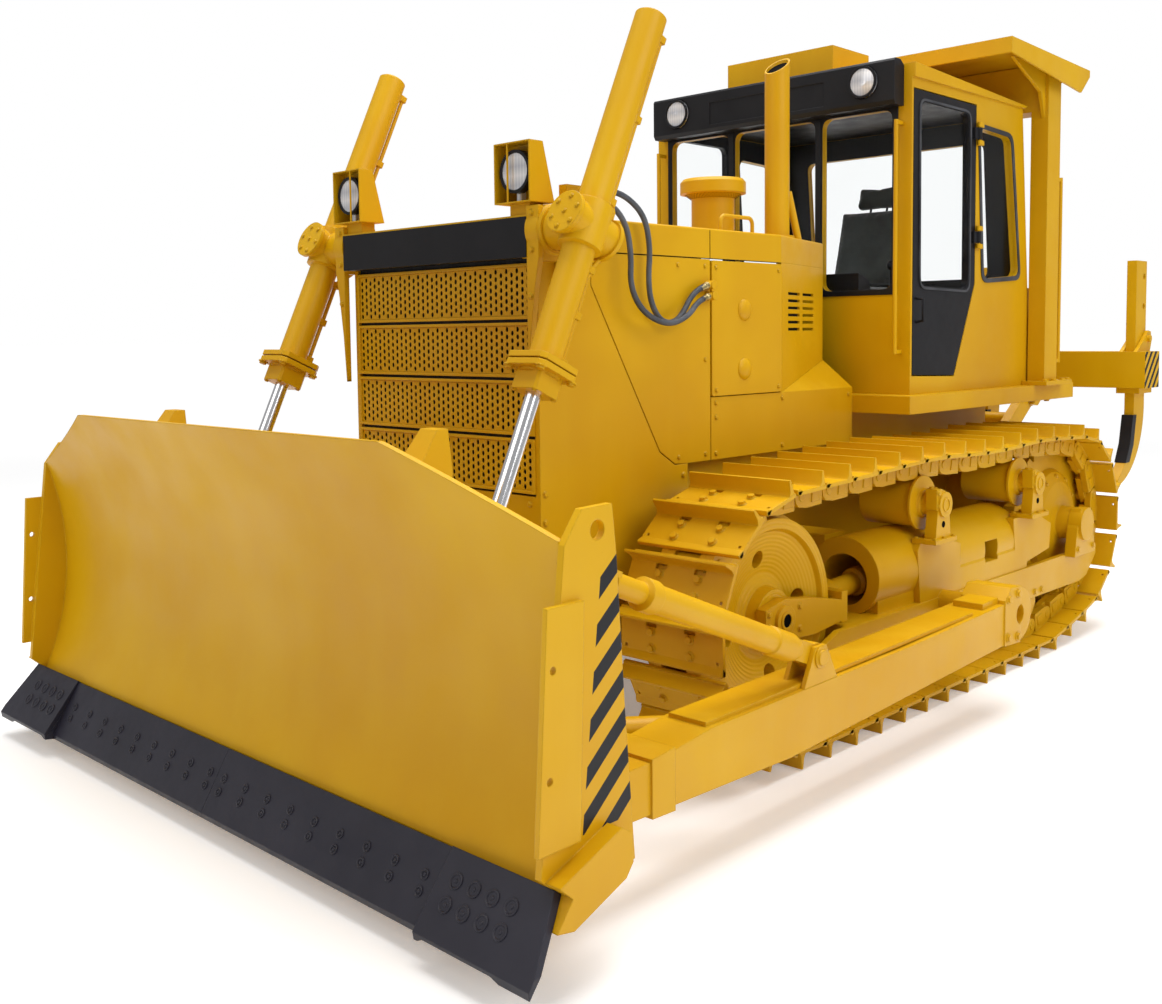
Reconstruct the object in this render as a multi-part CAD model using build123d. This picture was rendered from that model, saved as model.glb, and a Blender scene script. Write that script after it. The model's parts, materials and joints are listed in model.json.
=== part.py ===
from build123d import *
import math
import os

# Crawler bulldozer, full size, in millimetres. The machine faces -Y, its left side is +X and Z points up from
# the ground. Stations along the machine are measured from the foremost grouser that stands on the ground, and
# FRAME_Y moves every finished piece so that the origin lies at mid-length.
FRAME_Y = -1186.0

# ---- driving dimensions -------------------------------------------------------------------------------------
# Places in the side view are (station, height).
SEAT = 0.2                     # play between two pieces of the same body that only rest on each other
PLATE = 24.0                   # heavy plate of the blade and of the radiator guard

GAUGE = 1880.0                 # between the centre planes of the two tracks
TRACK_X = GAUGE / 2
SHOE_WIDTH = 500.0
LINKS = 42
CHAIN = dict(rail=50.0, plate=45.0, plate_thick=16.0, grouser=62.0)   # heights from the pin line
RAIL_INNER, RAIL_OUTER = 62.0, 128.0      # each rail of the chain, from the track's centre plane
GROUND_PIN = CHAIN["plate"] + CHAIN["plate_thick"] + CHAIN["grouser"]
GROUND_RUN = (180.0, 2520.0)   # stations between which the chain lies straight on the ground
IDLER = dict(y=50.0, z=600.0, pin_radius=470.0)
SPROCKET = dict(y=2900.0, z=655.0, pin_radius=441.4, teeth=27)
CARRIERS = [(1220.0, 1117.0), (2260.0, 1117.0)]     # station, height of the pin line above the roller
CARRIER_RADIUS = 115.0
ROLLER_STATIONS = [540.0, 915.0, 1290.0, 1665.0, 2040.0, 2415.0]
ROLLER_RADIUS = 108.0
SPRING_HOUSING = dict(front=(760.0, 650.0), rear=(2200.0, 650.0), radius=181.0, bore=118.0)
PEDESTALS = [[(1130, 480), (1100, 735), (1125, 770), (1340, 770), (1525, 722), (1525, 480)],
             [(2150, 480), (2115, 770), (2385, 770), (2590, 690), (2570, 556), (2290, 520), (2280, 480)]]

CHASSIS_FRONT, CHASSIS_REAR = -740.0, 3120.0
GUARD_HALF = 577.0             # outer faces of the radiator guard, the hood and the fenders
GUARD_FRONT = -854.0
GRILLE_ROWS = [(1150, 1360), (1372, 1582), (1594, 1804), (1816, 2026)]
LAMP_BOX = dict(x=(426.0, 618.0), y=(-870.0, -800.0, -742.0), z=(2245.0, 2469.0), lamp=(522.0, -852.0, 2362.0))
HOOD_TOP = 2210.0
HOOD_HANDLE = (520.0, 400.0, 640.0)       # x and the stations of its two feet
LOUVRES = dict(columns=(190.0, 410.0), rows=6, low=1770.0, step=34.0, length=175.0)
STACK = (408.0, 1000.0)        # x and station of the exhaust pipe
CLEANER = (170.0, 800.0)       # x and station of the air pre-cleaner

PLATFORM = (1345.0, 1435.0)    # under and upper side of the floor that carries the cab
CAB = dict(half=820.0, front=1563.0)
DOOR_OUTLINE = [(1584, 2955), (1586, 1534), (2029, 1520), (2255, 2009), (2255, 2955)]
DOOR_WINDOW = [(1652, 2900), (1662, 1985), (2180, 1975), (2175, 2900)]
DOOR_HINGE = (838.0, 2262.0)   # x and station of the door's hinge line
HINGE_Z = [2255.0, 2805.0]
SIDE_WINDOW = [(2296, 2842), (2675, 2828), (2800, 2065), (2358, 2035)]
FRONT_LIGHTS = [(-715, -305), (-262, 262), (305, 715)]     # spans of x of the three front windows
LIGHT_HEIGHT = (1968.0, 2862.0)
REAR_LIGHT = dict(x=(-600.0, 600.0), z=(2060.0, 2840.0))
VISOR = dict(box=(775.0, 2873.0, 3096.0), front=1467.0, lamp=(600.0, 3000.0))
POST = dict(x=(830.0, 930.0), y=(2920.0, 3090.0), z=(PLATFORM[1], 3110.0))     # of the roll-over frame
CANOPY = dict(half=1000.0, outline=[(2283, 3295), (3328, 3267), (3328, 3230), (3207, 3125), (2283, 3212)])

BLADE_HALF = 1620.0            # inner faces of the moldboard's cheeks
BLADE_FOOT, BLADE_MIDDLE, BLADE_TOP = (-1784.0, 284.0), (-1672.0, 820.0), (-1863.0, 1453.0)    # along its face
BLADE_TOP_HALF = 1001.0        # where the top edge starts to slope down
END_BIT_HALF = 1708.0
SEAM_X = 1239.0                # joint between cutting edge and end bit
ARM_PIVOT = (1350.0, 460.0)    # blade lift axis: trunnions of the push arms
ARM_X = (1300.0, 1500.0)
BRACE_X = 1450.0
BRACE_LOW, BRACE_HIGH = (-297.0, 590.0), (-1470.0, 1068.0)    # eyes of the arm brace and of the tilt cylinder

LIFT_PIVOT = (-765.0, 2145.0)  # where the lift cylinders turn
LIFT_EYE = (-1408.0, 740.0)    # where their rods hold the blade
LIFT_X = 800.0
LIFT_LUGS = [(LIFT_X - 75, LIFT_X - 45), (LIFT_X + 45, LIFT_X + 75)]
TRUNNION_X, TRUNNION_PIN = 655.0, 40.0    # face of the bearing on the radiator guard, radius of its stub
BARREL = dict(radius=62.0, rod=29.0, top=895.0, flange=545.0)     # lengths are measured from the pivot
HOSE = 24.0                    # outer diameter of the hydraulic hoses
LOWER_HOSE = [(622, -580, 2254), (630, -464, 2276), (648, -376, 2196), (662, -362, 2065), (668, -378, 1940),
              (668, -300, 1838), (662, -140, 1788), (648, 10, 1825), (628, 105, 1895), (610, 190, 1912)]
UPPER_HOSE = [(614, -570, 2292), (616, -455, 2318), (620, -342, 2302), (626, -236, 2228), (630, -210, 2098),
              (628, -222, 1978), (622, -198, 1875), (616, -122, 1798), (614, -8, 1806), (608, 100, 1942),
              (604, 190, 1960)]

RIPPER_LOWER = (3250.0, 840.0)     # pins of the lower arms on the rear bracket
RIPPER_UPPER = (3250.0, 1340.0)    # pins of the upper links
RIPPER_REACH = (700.0, 480.0)      # from each of these pins to its pin on the beam
RIPPER_ARM_X = (350.0, 410.0)
RAM_TOP = (3330.0, 1850.0)     # upper pins of the ripper's cylinders; their rods hold the lower arms
RAM_ARM, RAM_X, RAM_ROD = 300.0, 150.0, 32.0
BEAM = dict(half=1100.0, y=(4052.0, 4302.0), z=(1375.0, 1608.0))
SHANK = dict(y=(4112.0, 4290.0), top=2190.0, pin=(4262.0, 1690.0), tip=(3850.0, 768.0), holes=[1900.0, 2090.0])
SHANK_X = [-985.0, 0.0, 985.0]


# ---- helpers ------------------------------------------------------------------------------------------------
def block(x, y, z):
    """A box between two values on each axis."""
    middle = Pos((x[0] + x[1]) / 2, (y[0] + y[1]) / 2, (z[0] + z[1]) / 2)
    return middle * Box(x[1] - x[0], y[1] - y[0], z[1] - z[0])


def side_plate(outline, x0, x1):
    """An outline of (station, height) points, thickened from x0 to x1."""
    face = Plane.YZ.offset(x0) * Polygon(*outline, align=None)
    return extrude(face, amount=x1 - x0, dir=(1, 0, 0))


def front_plate(outline, y0, y1):
    """An outline of (x, height) points, thickened from station y0 to y1."""
    face = Plane.XZ.offset(-y0) * Polygon(*outline, align=None)
    return extrude(face, amount=y1 - y0, dir=(0, 1, 0))


def rounded_side(outline, radius, x0, x1):
    """A side outline with round corners, thickened from x0 to x1."""
    face = fillet(Polygon(*outline, align=None).vertices(), radius)
    return extrude(Plane.YZ.offset(x0) * face, amount=x1 - x0, dir=(1, 0, 0))


def rounded_front(x, z, radius, y0, y1):
    """A rectangle with round corners that faces forward, thickened from station y0 to y1."""
    face = Pos((x[0] + x[1]) / 2, (z[0] + z[1]) / 2) * RectangleRounded(x[1] - x[0], z[1] - z[0], radius)
    return extrude(Plane.XZ.offset(-y0) * face, amount=y1 - y0, dir=(0, 1, 0))


def arc_band(front, back, x0, x1):
    """A plate between two arcs, each through three (station, height) points."""
    edges = [ThreePointArc(*front), Line(front[2], back[2]), ThreePointArc(*back[::-1]), Line(back[0], front[0])]
    return extrude(Plane.YZ.offset(x0) * make_face(edges), amount=x1 - x0, dir=(1, 0, 0))


def spun_x(centre, profile):
    """A piece turned about an axis across the machine, from (x, radius) points."""
    plane = Plane(origin=(0, *centre), x_dir=(1, 0, 0), z_dir=(0, -1, 0))
    return revolve(plane * Polygon(*profile, align=None), axis=Axis((0, *centre), (1, 0, 0)))


def spun(start, towards, profile):
    """A piece turned about the line from start towards a point, from (distance, radius) points."""
    start, axis = Vector(*start), Vector(*towards) - Vector(*start)
    plane = Plane(origin=start, x_dir=axis, z_dir=axis.cross(Vector(1, 0, 0)))
    return revolve(plane * Polygon(*profile, align=None), axis=Axis(start, axis))


def sided(x, side):
    """The two ends of a span of x beside the left track's centre plane, in rising order."""
    return sorted((TRACK_X + side * x[0], TRACK_X + side * x[1]))


def plan_plate(outline, z0, z1):
    """An outline of (x, station) points, thickened from z0 to z1."""
    face = Plane.XY.offset(z0) * Polygon(*outline, align=None)
    return extrude(face, amount=z1 - z0, dir=(0, 0, 1))


def disc_x(centre, radius, x0, x1):
    """A cylinder across the machine."""
    face = Plane.YZ.offset(x0) * Pos(centre[0], centre[1]) * Circle(radius)
    return extrude(face, amount=x1 - x0)


def rod(start, end, radius):
    """A round bar between two points."""
    start, end = Vector(*start), Vector(*end)
    plane = Plane(origin=start, z_dir=end - start)
    return extrude(plane * Circle(radius), amount=(end - start).length)


def bar(start, end, width, height):
    """A rectangular bar between two points, its height in the upright plane through them."""
    start, end = Vector(*start), Vector(*end)
    along = end - start
    side = Vector(0, 0, 1).cross(along)
    plane = Plane(origin=start, x_dir=side, z_dir=along)
    return extrude(plane * Rectangle(width, height), amount=along.length)


def clipped(size, corner):
    """A square of a size with its corners cut off."""
    far, near = size / 2, size / 2 - corner
    return Polygon((-near, -far), (near, -far), (far, -near), (far, near), (near, far), (-near, far), (-far, near),
                   (-far, -near), align=None)


def mirrored(shape):
    """A piece's twin on the other side of the machine."""
    return mirror(shape, about=Plane.YZ)


def both(shape):
    """A piece and its twin together."""
    return Part() + shape + mirrored(shape)


def along(start, end, distance):
    """The point at a distance from start towards end, in the (station, height) plane."""
    dy, dz = end[0] - start[0], end[1] - start[1]
    length = math.hypot(dy, dz)
    return (start[0] + dy * distance / length, start[1] + dz * distance / length)


def behind(point, thickness):
    """A point of the blade's face moved back by a thickness."""
    return (point[0] + thickness, point[1])


# ---- tracks -------------------------------------------------------------------------------------------------
def touch_angle(wheel, point, turn):
    """Angle on a wheel where the straight run from a point meets its pin circle."""
    dy, dz = point[0] - wheel["y"], point[1] - wheel["z"]
    spread = math.acos(wheel["pin_radius"] / math.hypot(dy, dz))
    return math.degrees(math.atan2(dz, dy) + turn * spread)


def wheel_arc(wheel, start, end, steps):
    """Points of the pin line on a wheel, between two angles in degrees."""
    return [(wheel["y"] + wheel["pin_radius"] * math.cos(math.radians(start + (end - start) * i / steps)),
             wheel["z"] + wheel["pin_radius"] * math.sin(math.radians(start + (end - start) * i / steps)))
            for i in range(steps + 1)]


def pin_line():
    """The closed line through the chain's pins, at one equal step from pin to pin."""
    ground = [(GROUND_RUN[0], GROUND_PIN), (GROUND_RUN[1], GROUND_PIN)]
    (front_y, front_z), (rear_y, rear_z) = CARRIERS
    top = [(rear_y + 160, rear_z - 1), (rear_y, rear_z), (rear_y - 160, rear_z - 7),
           ((front_y + rear_y) / 2, front_z - 19), (front_y + 160, front_z - 7), (front_y, front_z),
           (front_y - 160, front_z - 3)]
    path = ground
    path += wheel_arc(SPROCKET, touch_angle(SPROCKET, ground[1], 1), touch_angle(SPROCKET, top[0], -1), 60)
    path += top
    path += wheel_arc(IDLER, touch_angle(IDLER, top[-1], 1), touch_angle(IDLER, ground[0], -1) + 360, 60)
    reach = [0.0]
    ring = path + [path[0]]
    for a, b in zip(ring, ring[1:]):
        reach.append(reach[-1] + math.dist(a, b))
    pins = []
    for k in range(LINKS):
        want = (reach[-1] * (k + 0.28) / LINKS) % reach[-1]
        i = next(i for i in range(len(path)) if reach[i + 1] >= want)
        share = (want - reach[i]) / (reach[i + 1] - reach[i])
        pins.append((ring[i][0] + share * (ring[i + 1][0] - ring[i][0]),
                     ring[i][1] + share * (ring[i + 1][1] - ring[i][1])))
    return pins, reach[-1] / LINKS


PINS, PITCH = pin_line()


def offset_ring(pins, out):
    """The chain's polygon moved outwards; corners lie on the bisectors."""
    ring = []
    count = len(pins)
    for i, pin in enumerate(pins):
        before, after = pins[i - 1], pins[(i + 1) % count]
        normals = []
        for a, b in ((before, pin), (pin, after)):
            length = math.dist(a, b)
            normals.append(((b[1] - a[1]) / length, -(b[0] - a[0]) / length))
        ny, nz = normals[0][0] + normals[1][0], normals[0][1] + normals[1][1]
        scale = out / ((ny * normals[0][0] + nz * normals[0][1]))
        ring.append((pin[0] + ny * scale, pin[1] + nz * scale))
    return ring


def shoe(a, b):
    """One shoe with its grouser, on the link from pin a to pin b."""
    length = math.dist(a, b)
    ty, tz = (b[0] - a[0]) / length, (b[1] - a[1]) / length
    ny, nz = tz, -ty

    def at(t, n):
        return (a[0] + ty * t + ny * n, a[1] + tz * t + nz * n)

    low, high = CHAIN["plate"], CHAIN["plate"] + CHAIN["plate_thick"]
    tip = high + CHAIN["grouser"]
    outline = [at(2, low), at(length - 2, low), at(length - 2, high), at(40, high), at(29, tip), at(19, tip),
               at(12, high), at(2, high)]
    return side_plate(outline, TRACK_X - SHOE_WIDTH / 2, TRACK_X + SHOE_WIDTH / 2)


def track():
    """The left chain: two rails and a ring of shoes."""
    outer, inner = offset_ring(PINS, CHAIN["plate"]), offset_ring(PINS, -CHAIN["rail"])
    chain = Part()
    for x0, x1 in ((TRACK_X - RAIL_OUTER, TRACK_X - RAIL_INNER), (TRACK_X + RAIL_INNER, TRACK_X + RAIL_OUTER)):
        chain += side_plate(outer, x0, x1) - side_plate(inner, x0 - 1, x1 + 1)
    shoes = [shoe(a, b) for a, b in zip(PINS, PINS[1:] + PINS[:1])]
    return chain.fuse(*shoes)


def wheel_inner_radius(wheel):
    """Distance from a wheel's centre to the rails at the middle of a link lying on it."""
    half = math.asin(PITCH / 2 / wheel["pin_radius"])
    return wheel["pin_radius"] * math.cos(half) - CHAIN["rail"]


def idler():
    """Left idler: a turned wheel with a rim, dished sides, a hub and holes through its web."""
    tread = wheel_inner_radius(IDLER) - 2.0
    half = [(50, tread + 22), (54, tread), (110, tread), (110, tread - 42), (88, tread - 54), (44, 175),
            (62, 128), (112 - SEAT, 118), (112 - SEAT, 0)]
    profile = [(TRACK_X + x, r) for x, r in half] + [(TRACK_X - x, r) for x, r in half[::-1]]
    wheel = spun_x((IDLER["y"], IDLER["z"]), profile)
    for k in range(4):
        a = math.radians(100 + 90 * k)
        hole = (IDLER["y"] + 245 * math.cos(a), IDLER["z"] + 245 * math.sin(a))
        wheel -= disc_x(hole, 36, TRACK_X - 115, TRACK_X + 115)
    return wheel


def sprocket():
    """Left sprocket: a toothed ring and the domed cover of its hub."""
    centre = (SPROCKET["y"], SPROCKET["z"])
    teeth = SPROCKET["teeth"]
    outline = []
    for i in range(teeth):
        for share, radius in ((0.0, -34.0), (0.3, 16.0), (0.62, 16.0), (0.92, -34.0)):
            a = 2 * math.pi * (i + share) / teeth
            r = SPROCKET["pin_radius"] + radius
            outline.append((centre[0] + r * math.cos(a), centre[1] + r * math.sin(a)))
    cover = [(-60, 0), (-60, 300), (36, 300), (64, 284), (94, 228), (112, 150), (118, 95), (185, 90), (185, 0)]
    hub = spun_x(centre, [(TRACK_X + x, r) for x, r in cover])
    return side_plate(outline, TRACK_X - 32, TRACK_X + 32) + hub


def final_drive():
    """Left final drive: the case that carries the sprocket's hub."""
    centre = (SPROCKET["y"], SPROCKET["z"])
    drive = disc_x(centre, 330.0, 480.0, 690.0)
    drive += disc_x(centre, 250.0, 690.0, TRACK_X - 60 - SEAT)
    return drive


def track_rollers():
    """Left ground rollers with the ends of their shafts."""
    z = GROUND_PIN + CHAIN["rail"] + ROLLER_RADIUS + SEAT
    half = [(RAIL_OUTER, ROLLER_RADIUS), (RAIL_OUTER, 38), (160 - SEAT, 38), (160 - SEAT, 0)]
    profile = [(TRACK_X + x, r) for x, r in half] + [(TRACK_X - x, r) for x, r in half[::-1]]
    rollers = Part()
    for y in ROLLER_STATIONS:
        rollers += spun_x((y, z), profile)
    return rollers


def carrier_height(pin_z):
    """Height of a carrier roller's axle under the pin line."""
    return pin_z - CHAIN["rail"] - CARRIER_RADIUS - 4


def carrier_rollers():
    """Left carrier rollers: a tread with an outer flange and the axle that stands out to its post."""
    edge = RAIL_OUTER + 2
    profile = [(-edge, 0), (-edge, CARRIER_RADIUS), (edge, CARRIER_RADIUS), (edge, CARRIER_RADIUS + 14),
               (edge + 13, CARRIER_RADIUS + 14), (edge + 16, 72), (edge + 30, 66), (edge + 30, 55), (188, 55),
               (188, 0)]
    rollers = Part()
    for y, pin_z in CARRIERS:
        rollers += spun_x((y, carrier_height(pin_z)), [(TRACK_X + x, r) for x, r in profile])
    return rollers


def carrier_post(y, z):
    """Cast post with the bearing of a carrier roller at its head."""
    x0, x1 = TRACK_X + 188 + SEAT, TRACK_X + 245
    head = disc_x((y + 8, z), 60, x0, x1 + 12)
    cap = [(y - 62, z - 20), (y + 30, z - 40), (y + 30, z + 60), (y - 20, z + 76), (y - 62, z + 76)]
    head += side_plate(cap, x0, x1)
    column = [(y - 70, 790), (y + 78, 790), (y + 58, z - 20), (y - 50, z - 20)]
    base = block((TRACK_X + 140, TRACK_X + 262), (y - 98, y + 104), (770, 792))
    return head + side_plate(column, x0, x1) + base


def track_frame():
    """Left track frame: rails, spring housing, pedestals of the carrier rollers and the outer bearings."""
    frame = block((TRACK_X - 180, TRACK_X + 180), (500.0, 2400.0), (418.0, 490.0))
    side = [(250, 330), (2980, 310), (3080, 330), (3215, 440), (3215, 490), (420, 490), (250, 430)]
    frame += side_plate(side, TRACK_X + 160, TRACK_X + 190)
    inner = [(250, 330), (2400, 310), (2400, 490), (420, 490), (250, 430)]
    frame += side_plate(inner, TRACK_X - 190, TRACK_X - 160)
    housing_ends = (TRACK_X, *SPRING_HOUSING["front"]), (TRACK_X, *SPRING_HOUSING["rear"])
    frame += rod(*housing_ends, SPRING_HOUSING["radius"])
    frame += block((TRACK_X - 150, TRACK_X + 150), (800.0, 2180.0), (480.0, 640.0))
    for outline in PEDESTALS:
        frame += side_plate(outline, TRACK_X + 38, TRACK_X + 182)
    cover = [(182, 480), (182, 600), (122, 735), (60, 800), (60, 480)]
    frame += front_plate([(TRACK_X + x, z) for x, z in cover], 1500, 2150)
    frame -= block((TRACK_X + 110, TRACK_X + 200), (1795.0, 1935.0), (585.0, 690.0))
    mouth = (TRACK_X, SPRING_HOUSING["front"][0] - 1, 635)
    frame -= rod(mouth, (TRACK_X, mouth[1] + 300, 635), SPRING_HOUSING["bore"])
    for y, pin_z in CARRIERS:
        frame += carrier_post(y, carrier_height(pin_z))
    frame += disc_x((SPROCKET["y"], SPROCKET["z"]), 92.0, TRACK_X + 185 + SEAT, TRACK_X + 262)
    bearing = [(2770, 480), (3060, 480), (3040, 560), (2985, 740), (2850, 745), (2800, 640)]
    frame += side_plate(bearing, TRACK_X + 186, TRACK_X + 245)
    frame += disc_x(ARM_PIVOT, 60.0, TRACK_X + 180, ARM_X[0] - 8)
    frame += disc_x(ARM_PIVOT, 44.95, ARM_X[0] - 8, ARM_X[1] - 30)
    return frame


def idler_yoke():
    """Forked carrier of the left idler and the rod that pushes it forward out of the spring housing."""
    yoke = Part()
    arm = [(-72, 574), (-72, 658), (60, 684), (276, 654), (498, 609), (498, 520), (277, 500), (20, 515)]
    for side in (-1, 1):
        yoke += side_plate(arm, *sided((112, 160), side))
        yoke += disc_x((IDLER["y"], IDLER["z"]), 62, *sided((160, 176), side))
    yoke += block((TRACK_X - 160, TRACK_X + 160), (484, 530), (510, 645))
    axis = Vector(0, 1, 0.06)
    start = (TRACK_X, 500, 590)
    profile = [(0, 0), (0, 66), (120, 66), (130, 48), (330, 48), (340, 64), (395, 64), (395, 0)]
    yoke += spun(start, (TRACK_X, start[1] + axis.Y, start[2] + axis.Z), profile)
    yoke += rod((TRACK_X, 880, 614), (TRACK_X, 1062, 625), 34)
    return yoke


# ---- chassis, engine, hood ----------------------------------------------------------------------------------
def main_frame():
    """Chassis: two deep side members on a belly box, a rear case, and the brackets of the ripper."""
    frame = block((-480, 480), (CHASSIS_FRONT, CHASSIS_REAR), (520, 820))
    member = [(CHASSIS_FRONT, 820), (CHASSIS_REAR, 820), (CHASSIS_REAR, 1340), (1300, 1340), (1300, 1180),
              (CHASSIS_FRONT, 1180)]
    frame += both(side_plate(member, 400, 480))
    frame += block((-480, 480), (2300, CHASSIS_REAR), (820, 1340))
    frame += block((-TRACK_X + 192, TRACK_X - 192), (900, 1080), (645, 800))
    frame += both(ripper_brackets())
    return frame


def ripper_brackets():
    """Left half of the plates and pins that carry the ripper behind the chassis."""
    low, high = RIPPER_LOWER, RIPPER_UPPER
    brackets = Part()
    lower = [(CHASSIS_REAR, low[1] - 120), (low[0] + 30, low[1] - 75), (low[0] + 75, low[1]),
             (low[0] + 30, low[1] + 75), (CHASSIS_REAR, low[1] + 160)]
    for x in (RIPPER_ARM_X[0] - 35, RIPPER_ARM_X[1] + 5):
        brackets += side_plate(lower, x, x + 30)
    brackets += disc_x(low, 34.95, RIPPER_ARM_X[0] - 35, RIPPER_ARM_X[1] + 35)
    upper = [(CHASSIS_REAR, high[1] - 110), (high[0] + 30, high[1] - 60), (high[0] + 60, high[1]),
             (high[0] + 30, high[1] + 60), (CHASSIS_REAR, high[1] + 60)]
    for x in (220, 310):
        brackets += side_plate(upper, x, x + 20)
    brackets += disc_x(high, 29.95, 220, 330)
    horn = [(CHASSIS_REAR, 1240), (CHASSIS_REAR + 70, 1300), (RAM_TOP[0] + 60, RAM_TOP[1] - 30),
            (RAM_TOP[0] + 40, RAM_TOP[1] + 60), (RAM_TOP[0] - 60, RAM_TOP[1] + 50), (CHASSIS_REAR + 2, 1500),
            (CHASSIS_REAR, 1330)]
    for x in (RAM_X - 85, RAM_X + 65):
        brackets += side_plate(horn, x, x + 20)
    brackets += disc_x(RAM_TOP, 30.0, RAM_X - 85, RAM_X + 85)
    for side in (-1, 1):
        brackets += disc_x(RAM_TOP, 60.0, *sorted((RAM_X + side * 35.5, RAM_X + side * 66)))
    return brackets


def engine():
    """Engine block under the hood."""
    return block((-390, 390), (-450, 1250), (820, 1950))


def radiator_guard():
    """Front housing: side walls, sill, lintel and top, and the wings that carry the lift cylinders."""
    side = [(GUARD_FRONT + 59, 700), (90, 700), (90, 1197), (3, 1197), (-97, 1258), (-508, 1944), (-508, 2200),
            (GUARD_FRONT + 4, 2200), (GUARD_FRONT + 4, 2040), (GUARD_FRONT + 59, 2040)]
    guard = both(side_plate(side, GUARD_HALF - PLATE, GUARD_HALF))
    guard += block((-GUARD_HALF, GUARD_HALF), (GUARD_FRONT + 59, -740), (700, 1140))
    guard += block((-GUARD_HALF, GUARD_HALF), (GUARD_FRONT + 4, -508), (2176, 2200))
    guard += block((-GUARD_HALF, GUARD_HALF), (GUARD_FRONT + 59, -508), (2050, 2080))
    flare = [(GUARD_HALF, 1560), (594, 1760), (618, 1930), (640, 2040), (640, 2232), (GUARD_HALF, 2232)]
    wing = front_plate(flare, -850, -826) + front_plate(flare, -704, -680)
    wing += block((GUARD_HALF, 632), (-826, -704), (2030, 2226))
    wing += spun_x(LIFT_PIVOT, [(GUARD_HALF, 0), (GUARD_HALF, 95), (636, 95), (642, 88), (TRUNNION_X, 88),
                                (TRUNNION_X, TRUNNION_PIN), (TRUNNION_X + 60, TRUNNION_PIN), (TRUNNION_X + 60, 0)])
    return guard + both(wing)


def grille():
    """Four sheet panels in folded rims, against a core that closes the front."""
    reach = GUARD_HALF - PLATE - SEAT
    panels = block((-reach, reach), (-783, -760), (1140 + SEAT, 2050 - SEAT))
    for z0, z1 in GRILLE_ROWS:
        panels += block((-reach, reach), (-797, -783), (z0, z1))
        rim = block((-reach, reach), (-803, -797), (z0, z1))
        panels += rim - block((14 - reach, reach - 14), (-804, -797), (z0 + 12, z1 - 12))
    return panels


def front_band():
    """Plain band across the top of the front, folded back along its lower edge."""
    inside = GUARD_HALF - PLATE - SEAT
    band = block((-GUARD_HALF, GUARD_HALF), (GUARD_FRONT, GUARD_FRONT + 4 - SEAT), (2043, 2193))
    return band + block((-inside, inside), (GUARD_FRONT, GUARD_FRONT + 59 - SEAT), (2043, 2050 - SEAT))


def lamp_boxes():
    """Sheet boxes around the head lamps, open in front, on brackets above the guard."""
    (x0, x1), (y0, y1, y2), (z0, z1) = LAMP_BOX["x"], LAMP_BOX["y"], LAMP_BOX["z"]
    box = side_plate([(y0, z0), (y2, z0), (y1, z1), (y0, z1)], x0, x1)
    box -= side_plate([(y0 - 1, z0 + 5), (y2 - 8, z0 + 5), (y1 - 8, z1 - 5), (y0 - 1, z1 - 5)], x0 + 5, x1 - 5)
    box += block((x0 + 44, x1 - 42), (y0 + 40, y2 - 20), (2200, z0))
    box += rod((x0 + 70, y0 + 4, z0 + 3), (x0 + 70, y0 + 4, z1 - 3), 4)
    return both(box)


def head_lamps():
    """Round lamps in the boxes: lens, shell and the foot that each stands on."""
    x, y, z = LAMP_BOX["lamp"]
    lamp = spun((x, y, z), (x, y + 1, z), [(0, 0), (0, 70), (8, 78), (26, 78), (60, 34), (60, 0)])
    lamp += block((x - 12, x + 12), (y + 20, y + 44), (LAMP_BOX["z"][0] + 5 + SEAT, z - 60))
    return both(lamp)


def hood():
    """Hood: a folded cover that narrows towards the cab."""
    top = [(GUARD_HALF, -508), (GUARD_HALF, 790), (400, 1420), (-400, 1420), (-GUARD_HALF, 790),
           (-GUARD_HALF, -508)]
    shell = plan_plate(top, 2080, HOOD_TOP)
    shell = fillet(shell.edges().group_by(Axis.Z)[-1], 10)
    inner = [(GUARD_HALF - 12, -520), (GUARD_HALF - 12, 785), (390, 1430), (-390, 1430), (-GUARD_HALF + 12, 785),
             (-GUARD_HALF + 12, -520)]
    return shell - plan_plate(inner, 2070, HOOD_TOP - 12)


def side_panels():
    """Panels below the hood: front panel, engine door and the slanted rear panel with its louvres."""
    front = side_plate([(-504, 2076), (250, 2076), (250, 1197), (94, 1197), (6, 1201), (-92, 1262), (-504, 1948)],
                       GUARD_HALF - 12, GUARD_HALF)
    door = rounded_side([(256, 1478), (788, 1478), (788, 2072), (256, 2072)], 14, GUARD_HALF - 12, GUARD_HALF + 6)
    rear = plan_plate([(GUARD_HALF, 790), (400, 1420), (388, 1415), (GUARD_HALF - 12, 786)], 1474 + SEAT, 2080)
    run = Vector(400 - GUARD_HALF, 630, 0).normalized()
    for s in LOUVRES["columns"]:
        for row in range(LOUVRES["rows"]):
            spot = Vector(GUARD_HALF, 790, LOUVRES["low"] + LOUVRES["step"] * row) + run * s
            slot = Plane(origin=spot, x_dir=run, z_dir=run.cross(Vector(0, 0, 1)))
            rear -= slot * Box(LOUVRES["length"], 13, 60)
    return both(front + door + rear)


def fenders():
    """Boxes beside the engine with their sloping tops, and the platform under the cab."""
    box = block((480, GUARD_HALF), (256, 1420), (1197, 1474))
    near, far, apex = Vector(GUARD_HALF, 792, 1474), Vector(GUARD_HALF, 1420, 1474), Vector(401, 1420, 1612)
    slope = plan_plate([(near.X, near.Y), (far.X, far.Y), (apex.X, apex.Y)], 1474, apex.Z)
    slope = split(slope, bisect_by=Plane(origin=near, z_dir=(far - near).cross(apex - near)), keep=Keep.BOTTOM)
    floor = plan_plate([(480, 1420), (900, 1420), (900, 3414), (480, 3414)], *PLATFORM)
    return both(box + slope + floor)


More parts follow.
